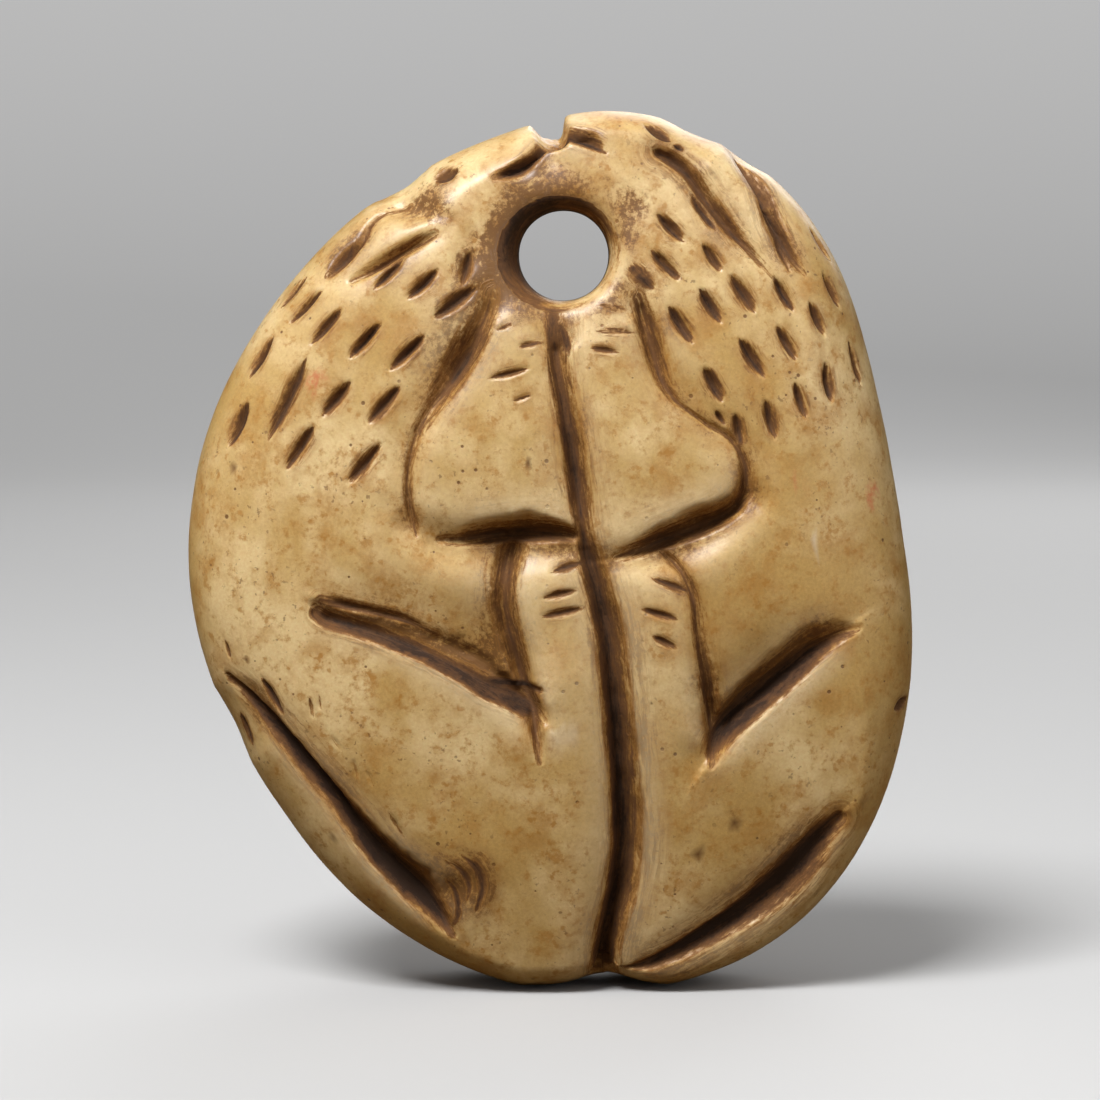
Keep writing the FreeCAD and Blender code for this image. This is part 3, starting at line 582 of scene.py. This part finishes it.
def make_round(piece):
    """Rounds the blank off all over, into a pebble, never standing out of the solid's hull."""
    apply_modifier(piece, "REMESH", mode="VOXEL", voxel_size=BLANK_VOXEL)
    mesh = piece.data
    points, normals = read_points(mesh)
    outline = points[np.abs(points[:, 1]) < BLANK_VOXEL * 0.8][:, ::2]
    edge = distance_to(outline, points[:, ::2])
    inward = np.hypot(normals[:, 0], normals[:, 2])
    shallow = np.zeros(len(points))
    deep = np.full(len(points), ROUND_LIMIT)
    for _ in range(24):
        middle = (shallow + deep) / 2
        from_edge = np.clip(1 - (edge + middle * inward) / ROUND_REACH, 0, 1)
        from_middle = (np.abs(points[:, 1]) - middle * np.abs(normals[:, 1])) / ROUND_HALF
        outside = from_edge ** ROUND_POWER + np.maximum(from_middle, 0) ** ROUND_POWER > 1
        shallow = np.where(outside, middle, shallow)
        deep = np.where(outside, deep, middle)
    write_points(mesh, points - normals * shallow[:, None])
    apply_modifier(piece, "SMOOTH", factor=0.5, iterations=6)


def distance_to(marks, points):
    """How far each of the points is from the nearest mark, in the plane."""
    tree = KDTree(len(marks))
    for number, (x, z) in enumerate(marks):
        tree.insert((x, 0, z), number)
    tree.balance()
    return np.array([tree.find((x, 0, z))[2] for x, z in points])


def make_drill():
    """The cord hole's shape: a round drawn out from ring to ring, widening to worn mouths."""
    seen = HOLE_RADIUS_PX * DISTANCE / (LENS / SENSOR * PHOTO_PX)
    core_front = point_at_depth(*HOLE_PX, -CORE_HALF)
    core_back = point_at_depth(*HOLE_PX, CORE_HALF)
    mouth = point_at_depth(*MOUTH_PX, -MOUTH_DEPTH)
    back_mouth = point_at_depth(*HOLE_PX, MOUTH_DEPTH)
    rings = (
        (mouth + Vector((-0.1, -DRILL_OVERRUN, 0.1)), MOUTH_RADIUS + DRILL_FLARE),
        (mouth, MOUTH_RADIUS),
        (mouth.lerp(core_front, 0.35), MOUTH_RADIUS * 0.75 + seen * 0.25),
        (mouth.lerp(core_front, 0.7), MOUTH_RADIUS * 0.3 + seen * 0.7),
        (core_front, seen),
        (core_back, seen),
        (back_mouth, BACK_MOUTH_RADIUS),
        (back_mouth + Vector((0, DRILL_OVERRUN, 0)), BACK_MOUTH_RADIUS + DRILL_FLARE),
    )
    bpy.ops.object.select_all(action="DESELECT")
    centre, radius = rings[0]
    bpy.ops.mesh.primitive_circle_add(
        vertices=96, radius=radius, fill_type="NGON", location=centre,
        rotation=(math.radians(90), 0, 0), enter_editmode=True)
    for (start, before), (end, after) in zip(rings, rings[1:]):
        bpy.ops.mesh.extrude_region_move(TRANSFORM_OT_translate={"value": end - start})
        bpy.ops.transform.resize(value=[after / before] * 3, center_override=end)
    bpy.ops.mesh.select_all(action="SELECT")
    bpy.ops.mesh.normals_make_consistent(inside=False)
    bpy.ops.object.mode_set(mode="OBJECT")
    return bpy.context.object


def read_points(mesh):
    """The mesh's vertices and their normals as two arrays."""
    points = np.empty(len(mesh.vertices) * 3)
    mesh.vertices.foreach_get("co", points)
    normals = np.empty(len(mesh.vertices) * 3)
    mesh.vertex_normals.foreach_get("vector", normals)
    return points.reshape(-1, 3), normals.reshape(-1, 3)


def write_points(mesh, points):
    """Moves the mesh's vertices to the points."""
    mesh.vertices.foreach_set("co", points.ravel())
    mesh.update()


def read_edges(mesh):
    """The two vertices of each of the mesh's edges, one row for each edge."""
    edges = np.empty(len(mesh.edges) * 2, int)
    mesh.edges.foreach_get("vertices", edges)
    return edges.reshape(-1, 2)


class Neighbours:
    """Which vertices an edge joins, for means over each one's neighbours."""

    def __init__(self, edges, count):
        self.a, self.b = edges.T
        self.count = count
        links = np.bincount(self.a, minlength=count) + np.bincount(self.b, minlength=count)
        self.links = np.maximum(links, 1)

    def mean(self, values):
        """The mean of the neighbours' values, for each vertex."""
        total = (np.bincount(self.a, values[self.b], self.count)
                 + np.bincount(self.b, values[self.a], self.count))
        return total / self.links


def blurred(mesh, values, rounds):
    """The values averaged with those of each vertex's neighbours, a number of times."""
    neighbours = Neighbours(read_edges(mesh), len(values))
    for _ in range(rounds):
        values = 0.5 * values + 0.5 * neighbours.mean(values)
    return values


def soften_mouths(mesh):
    """Melts the sharp lips of the cord hole, as years on a cord have done."""
    points, _ = read_points(mesh)
    centre = point_at_depth(*HOLE_PX, 0)
    radius = np.hypot(points[:, 0] - centre.x, points[:, 2] - centre.z)
    chosen = (radius < MELT_RADIUS) & (np.abs(points[:, 1]) > MELT_DEPTH)
    edges = read_edges(mesh)
    used, ends = np.unique(edges[chosen[edges].all(axis=1)], return_inverse=True)
    near = Neighbours(ends.reshape(-1, 2), len(used))
    spots = points[used]
    share = smooth_step(MELT_RADIUS, MELT_RADIUS - 1, radius[used])
    share *= smooth_step(MELT_DEPTH, MELT_DEPTH + 1, np.abs(spots[:, 1]))
    sample = spots[near.a[:2000]] - spots[near.b[:2000]]
    mean_edge = float(np.linalg.norm(sample, axis=1).mean())
    for _ in range(round(LIP_MELT / mean_edge ** 2)):
        means = np.column_stack([near.mean(spots[:, axis]) for axis in range(3)])
        spots += (means - spots) * share[:, None] * 0.6
    points[used] = spots
    write_points(mesh, points)


def unevenness(points, seed, size, count=14):
    """A slow hand-made waviness between -1 and 1: a few plane waves in random directions."""
    chance = np.random.default_rng(int(seed * 100))
    total = np.zeros(len(points))
    for _ in range(count):
        way = chance.normal(size=3)
        way *= chance.uniform(0.6, 1.5) * 2 * math.pi / size / np.linalg.norm(way)
        total += np.sin(points @ way + chance.uniform(0, 2 * math.pi))
    return total / math.sqrt(count) / 2


def carve(mesh, skin):
    """Carves both faces of the dense blank and says what lies at each vertex."""
    points, normals = read_points(mesh)
    work = Carving(points, normals)
    for stations in HOLLOWS_PX:
        line = line_of(skin, stations, 6.0)
        work.carve_hollow(line)
        work.carve_hollow(line.mirrored(BACK_SHARE))
    seed = 0
    for dark, halo, floor, stations in CUTS_PX.values():
        line = line_of(skin, stations)
        for face, share in ((line, 1), (line.mirrored(BACK_SHARE), BACK_SHARE)):
            seed += 1
            work.carve_cut(face, dark, halo, floor, seed)
    shorts = [(tick, TICK_DEPTH * min(1, tick[4] / 6),
               TICK_DARK * min(1, (tick[4] / 4.5) ** 2), TICK_HALO) for tick in TICKS_PX]
    shorts += [(toe, TOE_DEPTH, TOE_DARK, TOE_HALO) for toe in TOES_PX]
    for ends, depth, dark, halo in shorts:
        line = line_of(skin, tick_stations(*ends, depth), 2.5)
        for face in (line, line.mirrored(BACK_SHARE)):
            seed += 1
            work.carve_cut(face, dark, halo, SHORT_FLOOR, seed)
    for x, y, half_width, depth in RIM_NOTCHES_PX:
        found = skin.around_rim(x, y)
        width = np.full(len(found), half_width * pixel_size())
        notch = Line([point for point, _ in found], [normal for _, normal in found],
                     width, width, np.full(len(found), depth))
        seed += 1
        work.carve_cut(notch, 0, 0.1, 0.9, seed)
    # Soil and painted shade in hollows, on both faces.
    for x, y, radius, strength in SOIL_AND_SHADE_PX:
        for gap in (work.gap_to(skin, x, y, side) for side in (1, -1)):
            work.soil_and_shade += strength * np.exp(-(gap / (radius * pixel_size())) ** 2)
    for x, y, radius, kind in MARKS_PX:
        gap = work.gap_to(skin, x, y, 1) / (radius * pixel_size())
        uneven = unevenness(points, x, 0.4) * 0.15
        form = smooth_step(1.25, 0.75, gap + uneven * (gap < 3))
        work.marks = np.maximum(work.marks, form[:, None] * np.array(MARK_KINDS[kind]))
    waves = 0.05 + 0.05 * unevenness(points, 3, 9.0) + 0.02 * unevenness(points, 5, 3.0)
    hole_wall = mark_hole(work)
    away = 1 - hole_wall
    depth = (work.hollow + np.maximum(waves, 0)) * away + work.cut * away
    return work, depth, hole_wall


def mark_hole(work):
    """Paints shade on the cord hole's wall, darkest on its upper left side, and a brown stain with
    painted shade on the dish round its mouth; says which is the wall.
    """
    centre = point_at_depth(*HOLE_PX, 0)
    offset = work.points - np.array(centre)
    radius = np.hypot(offset[:, 0], offset[:, 2])
    radial = (offset[:, 0] * work.normals[:, 0] + offset[:, 2] * work.normals[:, 2])
    radial /= np.maximum(radius, 1e-6)
    wall = smooth_step(0.25, 0.6, -radial) * (radius < 4.4)
    angle = np.arctan2(offset[:, 2], offset[:, 0])
    shaded_side = 0.5 + 0.5 * np.cos(angle - math.radians(140))
    # Painted shade on the hole's wall: darkest on its upper left side, where the lamps' light does
    # not reach, none on the lower right.
    dark = wall * (1.3 * shaded_side - 0.2)
    work.patina = np.maximum(work.patina, np.where(wall > 0.3, dark, -3))
    near = (radius < 6) & (work.normals[:, 1] < 0.2)
    # Brown stain round the mouth, with painted shade heavier on the upper left side of the dish.
    glow = np.exp(-(np.maximum(radius - 2.5, 0) / 1.0) ** 2) * (0.3 + 0.9 * shaded_side)
    work.halo = np.maximum(work.halo, np.where(near, glow, 0))
    streak = np.column_stack([angle * 2.0, work.points[:, 1] * 0.25, np.full(len(radius), 90.0)])
    work.streak = np.where((wall > 0.3)[:, None], streak, work.streak)
    return wall


def write_attributes(mesh, dense_points, values):
    """Gives each vertex of the finished mesh the values of the nearest dense vertices."""
    tree = KDTree(len(dense_points))
    for number, point in enumerate(dense_points):
        tree.insert(point, number)
    tree.balance()
    places = np.empty((len(mesh.vertices), 3), int)
    shares = np.empty((len(mesh.vertices), 3))
    for number, vertex in enumerate(mesh.vertices):
        for column, (_, found, distance) in enumerate(tree.find_n(vertex.co, 3)):
            places[number, column] = found
            shares[number, column] = 1 / (distance + 0.01)
    shares /= shares.sum(axis=1, keepdims=True)
    for name, value in values.items():
        if value.ndim == 1:
            attribute = mesh.attributes.new(name, "FLOAT", "POINT")
            found = np.sum(value[places] * shares, axis=1)
            attribute.data.foreach_set("value", found.astype(np.float32))
        else:
            attribute = mesh.attributes.new(name, "FLOAT_VECTOR", "POINT")
            attribute.data.foreach_set("vector", value[places[:, 0]].astype(np.float32).ravel())


class Shades:
    """Short ways to add shader nodes and to join them."""

    def __init__(self, material):
        material.use_nodes = True
        self.tree = material.node_tree
        self.tree.nodes.clear()

    def add(self, kind, inputs=None, **settings):
        node = self.tree.nodes.new(kind)
        for name, value in settings.items():
            setattr(node, name, value)
        for name, value in (inputs or {}).items():
            self.feed(node.inputs[name], value)
        return node

    def feed(self, socket, value):
        if isinstance(value, bpy.types.NodeSocket):
            self.tree.links.new(value, socket)
        else:
            socket.default_value = value

    def math(self, operation, a, b=0.0, clamp=False):
        node = self.add("ShaderNodeMath", {0: a, 1: b}, operation=operation, use_clamp=clamp)
        return node.outputs[0]

    def plus(self, a, b, clamp=False):
        return self.math("ADD", a, b, clamp)

    def times(self, a, b, clamp=False):
        return self.math("MULTIPLY", a, b, clamp)

    def swing(self, value, size):
        """How far the value is from a half, times a size."""
        return self.times(self.math("SUBTRACT", value, 0.5), size)

    def mix(self, share, a, b, mode="MIX"):
        node = self.add("ShaderNodeMix", {0: share, 6: a, 7: b}, data_type="RGBA",
                        blend_type=mode)
        return node.outputs[2]

    def rise(self, value, low, high, start=0.0, end=1.0):
        """A smooth rise from start to end as the value goes from low to high."""
        node = self.add("ShaderNodeMapRange", {
            "Value": value, "From Min": low, "From Max": high, "To Min": start, "To Max": end,
        }, interpolation_type="SMOOTHSTEP")
        return node.outputs[0]

    def noise(self, vector, scale, detail=3.0, roughness=0.55, distortion=0.0):
        node = self.add("ShaderNodeTexNoise", {
            "Vector": vector, "Scale": scale, "Detail": detail, "Roughness": roughness,
            "Distortion": distortion,
        })
        return node.outputs[0]

    def attribute(self, name, output):
        return self.add("ShaderNodeAttribute", attribute_name=name).outputs[output]


def colour(values):
    """A stored colour as red, green, blue and full opacity."""
    return (*values[:3], 1.0)


def bone_material(options):
    """Polished old bone: cream to amber, dark patina in the cuts, brown halos, pale rubbed ridges
    with painted highlights, and painted shade in hollows and in the cord hole.
    """
    material = bpy.data.materials.new("polished_bone")
    shades = Shades(material)
    place = shades.add("ShaderNodeTexCoord").outputs["Object"]
    place = shades.add("ShaderNodeMapping", {
        "Vector": place, "Scale": (1 / MM, 1 / MM, 1 / MM)}).outputs[0]
    # These attributes also carry painted shade in the cord hole and the hollows, and painted
    # highlights on ridges.
    patina, halo, wear, grime = (
        shades.attribute(name, "Fac") for name in ("patina", "halo", "wear", "grime"))
    streak = shades.attribute("streak", "Vector")
    streak = shades.add("ShaderNodeMapping", {
        "Vector": streak, "Scale": (0.6, 6.0, 3.7)}).outputs[0]

    def tint(tone, share, name):
        return shades.mix(share, tone, colour(getattr(options, name)))

    # Clean bone: clouds of tan and cream, amber mottling and a fine grain.
    clouds = shades.noise(place, 0.16, 4.0, 0.6, 0.4)
    tone = tint(colour(options.tan), shades.rise(clouds, 0.38, 0.66), "cream")
    ambers = shades.noise(place, 0.55, 5.0, 0.65, 0.3)
    tone = tint(tone, shades.rise(ambers, 0.44, 0.70, 0.0, 0.62), "amber")
    blotches = shades.noise(place, 1.6, 4.0, 0.7)
    tone = tint(tone, shades.rise(blotches, 0.52, 0.70, 0.0, 0.75), "amber")
    grain = shades.noise(place, 7.0, 3.0, 0.7)
    tone = shades.mix(0.22, tone, shades.mix(
        shades.rise(grain, 0.3, 0.7), (0.32, 0.30, 0.26, 1), (0.68, 0.68, 0.68, 1)), "OVERLAY")

    # Dark pores, amber freckles and brown flecks, in loose clusters.
    pores = shades.add("ShaderNodeTexVoronoi", {"Vector": place, "Scale": 1.6})
    lucky = shades.add("ShaderNodeSeparateColor", {0: pores.outputs["Color"]})
    clusters = shades.noise(place, 0.32, 2.0, 0.5)
    chance = shades.plus(lucky.outputs[0], shades.rise(clusters, 0.45, 0.7, -0.25, 0.3))
    size = shades.times(lucky.outputs[1], 0.16)
    dot = shades.math("SUBTRACT", size, pores.outputs["Distance"])
    dot = shades.times(shades.rise(dot, -0.03, 0.03), shades.rise(chance, 0.46, 0.56))
    tone = tint(tone, shades.times(dot, 0.85), "brown")
    freckles = shades.noise(place, 2.8, 2.0, 0.5)
    freckles = shades.times(shades.rise(freckles, 0.58, 0.70), shades.rise(ambers, 0.42, 0.58))
    tone = tint(tone, shades.times(freckles, 0.8), "amber")
    flecks = shades.noise(place, 4.2, 2.0, 0.5)
    flecks = shades.times(shades.rise(flecks, 0.64, 0.72), shades.rise(clusters, 0.42, 0.62))
    tone = tint(tone, shades.times(flecks, 0.6), "brown")

    # Warm stain beside the cuts, and soil with painted shade in hollows, then brown where it is
    # thickest.
    scratches = shades.noise(streak, 1.0, 4.0, 0.7, 0.45)
    speck = shades.noise(place, 4.5, 4.0, 0.75)
    smear = shades.noise(place, 1.1, 5.0, 0.75, 1.0)
    # Soil and painted shade in the hollows, broken up by smears and specks.
    dirt = shades.times(grime, shades.rise(smear, 0.3, 0.62, 0.35, 1.15))
    dirt = shades.times(dirt, shades.rise(speck, 0.36, 0.62, 0.5, 1.3))
    warmth_and_shade = shades.times(halo, shades.rise(scratches, 0.36, 0.64, 0.35, 1.1))
    warmth_and_shade = shades.plus(warmth_and_shade, dirt)
    tone = tint(tone, shades.rise(warmth_and_shade, 0.0, 1.0, 0.0, 0.85), "soil_and_shade")
    warmth_and_shade = shades.plus(warmth_and_shade, shades.swing(speck, 1.6))
    tone = tint(tone, shades.rise(warmth_and_shade, 0.45, 1.25, 0.0, 0.8), "brown")

    # Ridges rubbed pale, with painted highlights on them.
    worn_and_highlight = shades.times(wear, shades.rise(speck, 0.25, 0.6, 0.5, 1.0), True)
    tone = tint(tone, shades.times(worn_and_highlight, 0.7), "worn_and_highlight")

    # The filling of the cuts, in four steps from a ragged edge to a dark core; on the cord hole's
    # wall the same steps give painted shade.
    ragged = shades.plus(patina, shades.swing(scratches, 2.0))
    ragged = shades.plus(ragged, shades.swing(speck, 0.8))
    stain = shades.rise(ragged, 0.0, 0.5)
    tone = tint(tone, shades.rise(ragged, -0.2, 0.25, 0.0, 0.85), "soil_and_shade")
    tone = tint(tone, stain, "brown")
    tone = tint(tone, shades.rise(ragged, 0.5, 0.9), "dust")
    tone = tint(tone, shades.rise(ragged, 0.85, 1.25, 0.0, 0.9), "patina")
    marks = shades.add("ShaderNodeSeparateXYZ", {0: shades.attribute("marks", "Vector")})
    smeared = shades.times(marks.outputs[2], shades.rise(speck, 0.35, 0.6, 0.1, 0.9))
    tone = tint(tone, smeared, "red")
    tone = tint(tone, marks.outputs[1], "chalk")
    tone = tint(tone, marks.outputs[0], "brown")

    # Clean bone is glossy and the stain is dull; grain, streaks and pores give a fine relief.
    rough = shades.plus(shades.rise(blotches, 0.3, 0.7, 0.36, 0.48), shades.times(stain, 0.4))
    gloss = shades.rise(ragged, -0.2, 0.3, 0.4, 0.0)
    height = shades.times(grain, 0.12)
    height = shades.plus(height, shades.times(blotches, 0.35))
    lines = shades.times(scratches, shades.plus(halo, stain, True))
    height = shades.plus(height, shades.times(lines, 0.9))
    height = shades.math("SUBTRACT", height, shades.times(dot, 0.5))
    bump = shades.add("ShaderNodeBump", {
        "Height": height, "Strength": 0.55, "Distance": 0.06 * MM})
    shader = shades.add("ShaderNodeBsdfPrincipled", {
        "Base Color": tone, "Roughness": rough, "Normal": bump.outputs[0], "IOR": 1.34,
        "Subsurface Weight": 0.12, "Subsurface Scale": 0.8 * MM,
        "Subsurface Radius": (1.0, 0.6, 0.3), "Coat Weight": gloss, "Coat Roughness": 0.34,
    })
    shades.add("ShaderNodeOutputMaterial", {"Surface": shader.outputs[0]})
    return material


def colour_option(name, description, default):
    """A colour that a user may change."""
    return bpy.props.FloatVectorProperty(
        name=name, description=description, subtype="COLOR", default=default, min=0, max=1)


def power_option(name, description, default):
    """A lamp's power that a user may change."""
    return bpy.props.FloatProperty(
        name=name, description=description, default=default, min=0, unit="POWER")


class BoneOptions(bpy.types.PropertyGroup):
    """Fineness and colours of the carved bone."""

    voxel: bpy.props.FloatProperty(
        name="Voxel", description="Fineness of the carved surface, in mm",
        default=0.1, min=0.06, max=0.4)
    faces: bpy.props.IntProperty(
        name="Triangles", description="Most triangles that the finished piece may have",
        default=198000, min=10000, max=199000)
    cream: colour_option("Cream", "Pale areas of the bone", (0.72, 0.535, 0.27))
    tan: colour_option("Tan", "Darker areas of the bone", (0.50, 0.315, 0.105))
    amber: colour_option("Amber", "Amber mottling", (0.40, 0.19, 0.038))
    # This colour also paints highlights on the ridges.
    worn_and_highlight: colour_option("Worn", "Pale ridges that handling has rubbed", (0.80, 0.64, 0.38))
    # This colour also paints shade in the hollows.
    soil_and_shade: colour_option("Soil", "Warm thin stain in hollows and round the cuts",
                        (0.34, 0.16, 0.038))
    brown: colour_option("Brown", "Pores, nicks and thick stain", (0.145, 0.063, 0.020))
    dust: colour_option("Filling", "Brown dirt packed into the cuts", (0.090, 0.041, 0.017))
    # This colour also gives the deepest painted shade on the cord hole's wall.
    patina: colour_option("Patina", "Dark core of the deepest filling", (0.032, 0.016, 0.009))
    red: colour_option("Red", "Faint red smears", (0.55, 0.17, 0.07))
    chalk: colour_option("Chalk", "Pale chips and scuffs", (0.76, 0.70, 0.58))


class StageOptions(bpy.types.PropertyGroup):
    """Floor, lamps and camera."""

    floor: colour_option("Floor", "Colour of the floor and backdrop to the camera", (0.5, 0.5, 0.5))
    bounce: colour_option("Bounce", "Colour of the floor to every ray but the camera's",
                          (0.11, 0.075, 0.035))
    glow: bpy.props.FloatProperty(
        name="Backdrop", description="How much paler the camera sees the backdrop",
        default=0.42, min=0, max=1)
    key: power_option("Key lamp", "Power of the large lamp, up on the left", 2.04)
    fill: power_option("Fill lamp", "Power of the soft lamp on the right", 0.22)
    back: power_option("Back lamp", "Power of the soft lamp behind", 0.7)
    world: bpy.props.FloatProperty(
        name="World", description="Strength of the even light all round",
        default=0.32, min=0)


class PENDANT_OT_carve_bone(bpy.types.Operator):
    """Carve the pendant from the hull of its solid"""

    bl_idname = "pendant.carve_bone"
    bl_label = "Carve bone"

    def execute(self, context):
        options = context.scene.pendant_bone
        piece = make_blank()
        make_round(piece)
        skin = Skin(piece.data)
        drill = make_drill()
        apply_modifier(piece, "BOOLEAN", object=drill, operation="DIFFERENCE", solver="EXACT")
        bpy.data.objects.remove(drill)
        voxel = options.voxel * 1.0
        apply_modifier(piece, "REMESH", mode="VOXEL", voxel_size=voxel)
        mesh = piece.data
        work, depth, hole_wall = carve(mesh, skin)
        write_points(mesh, work.points - work.normals * depth[:, None])
        soften_mouths(mesh)
        apply_modifier(piece, "SMOOTH", factor=0.5, iterations=2)
        mesh = piece.data
        near_mean = blurred(mesh, depth, round((SHORT_REACH / voxel * 2) ** 2))
        wide_mean = blurred(mesh, near_mean, round((LONG_REACH / voxel * 2) ** 2))
        values = {
            "patina": work.patina,
            "halo": work.halo,
            # Paler where the surface stands higher than round it: ridges rubbed pale, with painted
            # highlights.
            "wear": np.clip((wide_mean - near_mean - 0.03) / 0.22, 0, 1) * (1 - hole_wall),
            # Darker where the surface lies lower than round it, and at the listed spots: soil with
            # painted shade in the hollows.
            "grime": np.clip((near_mean - wide_mean) / 0.5, 0, 0.5) + np.clip(work.soil_and_shade, 0, 1.3),
            "marks": work.marks,
            "streak": work.streak,
        }
        dense_points, _ = read_points(mesh)
        triangles = 2 * len(mesh.polygons)
        apply_modifier(piece, "DECIMATE", ratio=min(1.0, options.faces / triangles))
        mesh = piece.data
        write_attributes(mesh, dense_points, values)
        mesh.transform(Matrix.Scale(MM, 4))
        select_only(piece)
        bpy.ops.object.shade_smooth()
        mesh.materials.clear()
        mesh.materials.append(bone_material(options))
        if len(mesh.polygons) < 1000:
            raise RuntimeError("the carved bone came out empty")
        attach(piece, "root")
        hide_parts(NODE)
        return {"FINISHED"}


class PENDANT_OT_set_stage(bpy.types.Operator):
    """Set the pendant on a plain pale stage with soft lamps and the photograph's view"""

    bl_idname = "pendant.set_stage"
    bl_label = "Set stage"

    def execute(self, context):
        options = context.scene.pendant_stage
        make_floor(options)
        for name, place, size in LAMPS:
            add_lamp(f"{name}_lamp", place, size, getattr(options, name))
        context.scene.world = make_world(options)
        context.scene.view_settings.view_transform = "Standard"
        add_camera(context.scene)
        return {"FINISHED"}


def make_floor(options):
    """A pale sheet that lies flat under the pendant and curves up behind it; to the camera it
    glows, paler further back.
    """
    low = CAD_BOX[0][2]
    bpy.ops.object.select_all(action="DESELECT")
    bpy.ops.mesh.primitive_plane_add(
        size=FLOOR_SIZE, location=(0, FLOOR_END - FLOOR_SIZE / 2, low), enter_editmode=True)
    bpy.ops.mesh.select_all(action="DESELECT")
    bpy.ops.object.mode_set(mode="OBJECT")
    floor = bpy.context.object
    floor.name = "floor"
    bpy.ops.object.transform_apply(location=True)
    for edge in floor.data.edges:
        edge.select = all(floor.data.vertices[v].co.y > FLOOR_END - 0.1 for v in edge.vertices)
    bpy.ops.object.mode_set(mode="EDIT")
    bpy.ops.mesh.select_mode(type="EDGE")
    bpy.ops.mesh.extrude_region_move(TRANSFORM_OT_translate={"value": (0, 0, BACKDROP_HEIGHT)})
    bpy.ops.object.mode_set(mode="OBJECT")
    for edge in floor.data.edges:
        ends = [floor.data.vertices[v].co for v in edge.vertices]
        edge.select = all(end.y > FLOOR_END - 0.1 and end.z < low + 0.01 for end in ends)
    bpy.ops.object.mode_set(mode="EDIT")
    bpy.ops.mesh.bevel(offset=BACKDROP_BEND, segments=24, affect="EDGES")
    bpy.ops.object.mode_set(mode="OBJECT")
    bpy.ops.object.shade_smooth()
    material = bpy.data.materials.new("plain_floor")
    shades = Shades(material)
    seen = shades.add("ShaderNodeLightPath").outputs["Is Camera Ray"]
    tone = shades.mix(seen, colour(options.bounce), colour(options.floor))
    place = shades.add("ShaderNodeTexCoord").outputs["Object"]
    away = shades.add("ShaderNodeSeparateXYZ", {0: place}).outputs["Y"]
    # Painted light: the camera sees the sheet glow, more the further back it lies.
    glow = shades.times(seen, shades.rise(away, 0.15, 1.0, 0.0, options.glow))
    shader = shades.add("ShaderNodeBsdfPrincipled", {
        "Base Color": tone, "Roughness": 0.9, "Specular IOR Level": 0.1,
        "Emission Color": colour((1, 1, 1)), "Emission Strength": glow})
    shades.add("ShaderNodeOutputMaterial", {"Surface": shader.outputs[0]})
    floor.data.materials.append(material)


def make_world(options):
    """Even light from above that fades out towards the floor."""
    world = bpy.data.worlds.new("studio")
    shades = Shades(world)
    way = shades.add("ShaderNodeTexCoord").outputs["Generated"]
    up = shades.add("ShaderNodeSeparateXYZ", {0: way}).outputs["Z"]
    strength = shades.rise(up, -0.4, 0.8, options.world * 0.12, options.world)
    background = shades.add("ShaderNodeBackground", {
        "Color": (1, 1, 1, 1), "Strength": strength})
    shades.add("ShaderNodeOutputWorld", {"Surface": background.outputs[0]})
    return world


def add_lamp(name, place, size, power):
    """A square lamp that faces the middle of the pendant."""
    lamp = bpy.data.lights.new(name, "AREA")
    lamp.size = size
    lamp.energy = power
    holder = bpy.data.objects.new(name, lamp)
    holder.location = place
    way = AIM * MM - Vector(place)
    holder.rotation_euler = way.to_track_quat("-Z", "Y").to_euler()
    bpy.context.scene.collection.objects.link(holder)


def add_camera(scene):
    """The camera at the photograph's height and distance."""
    camera = bpy.data.cameras.new("camera")
    camera.lens = LENS
    camera.sensor_width = SENSOR
    camera.clip_start = 0.005
    holder = bpy.data.objects.new("camera", camera)
    holder.location = photo_ray(0, 0)[0] * MM
    holder.rotation_euler = (math.radians(90 - ELEVATION), 0, 0)
    scene.collection.objects.link(holder)
    scene.camera = holder


class PENDANT_PT_panel(bpy.types.Panel):
    """The pendant's sizes, colours and steps"""

    bl_idname = "PENDANT_PT_panel"
    bl_label = "Carved bone pendant"
    bl_space_type = "VIEW_3D"
    bl_region_type = "UI"
    bl_category = "Pendant"

    def draw(self, context):
        bone = context.scene.pendant_bone
        for name in ("voxel", "faces", "cream", "tan", "amber", "worn_and_highlight", "soil_and_shade", "brown",
                     "patina", "dust", "red", "chalk"):
            self.layout.prop(bone, name)
        self.layout.operator(PENDANT_OT_carve_bone.bl_idname)
        stage = context.scene.pendant_stage
        for name in ("floor", "bounce", "glow", "key", "fill", "back", "world"):
            self.layout.prop(stage, name)
        self.layout.operator(PENDANT_OT_set_stage.bl_idname)


CLASSES = (BoneOptions, StageOptions, PENDANT_OT_carve_bone, PENDANT_OT_set_stage,
           PENDANT_PT_panel)


def register():
    for kind in CLASSES:
        bpy.utils.register_class(kind)
    bpy.types.Scene.pendant_bone = bpy.props.PointerProperty(type=BoneOptions)
    bpy.types.Scene.pendant_stage = bpy.props.PointerProperty(type=StageOptions)


def unregister():
    del bpy.types.Scene.pendant_stage
    del bpy.types.Scene.pendant_bone
    for kind in reversed(CLASSES):
        bpy.utils.unregister_class(kind)


def main():
    register()
    bpy.ops.pendant.carve_bone()
    bpy.ops.pendant.set_stage()


if __name__ == "__main__":
    main()
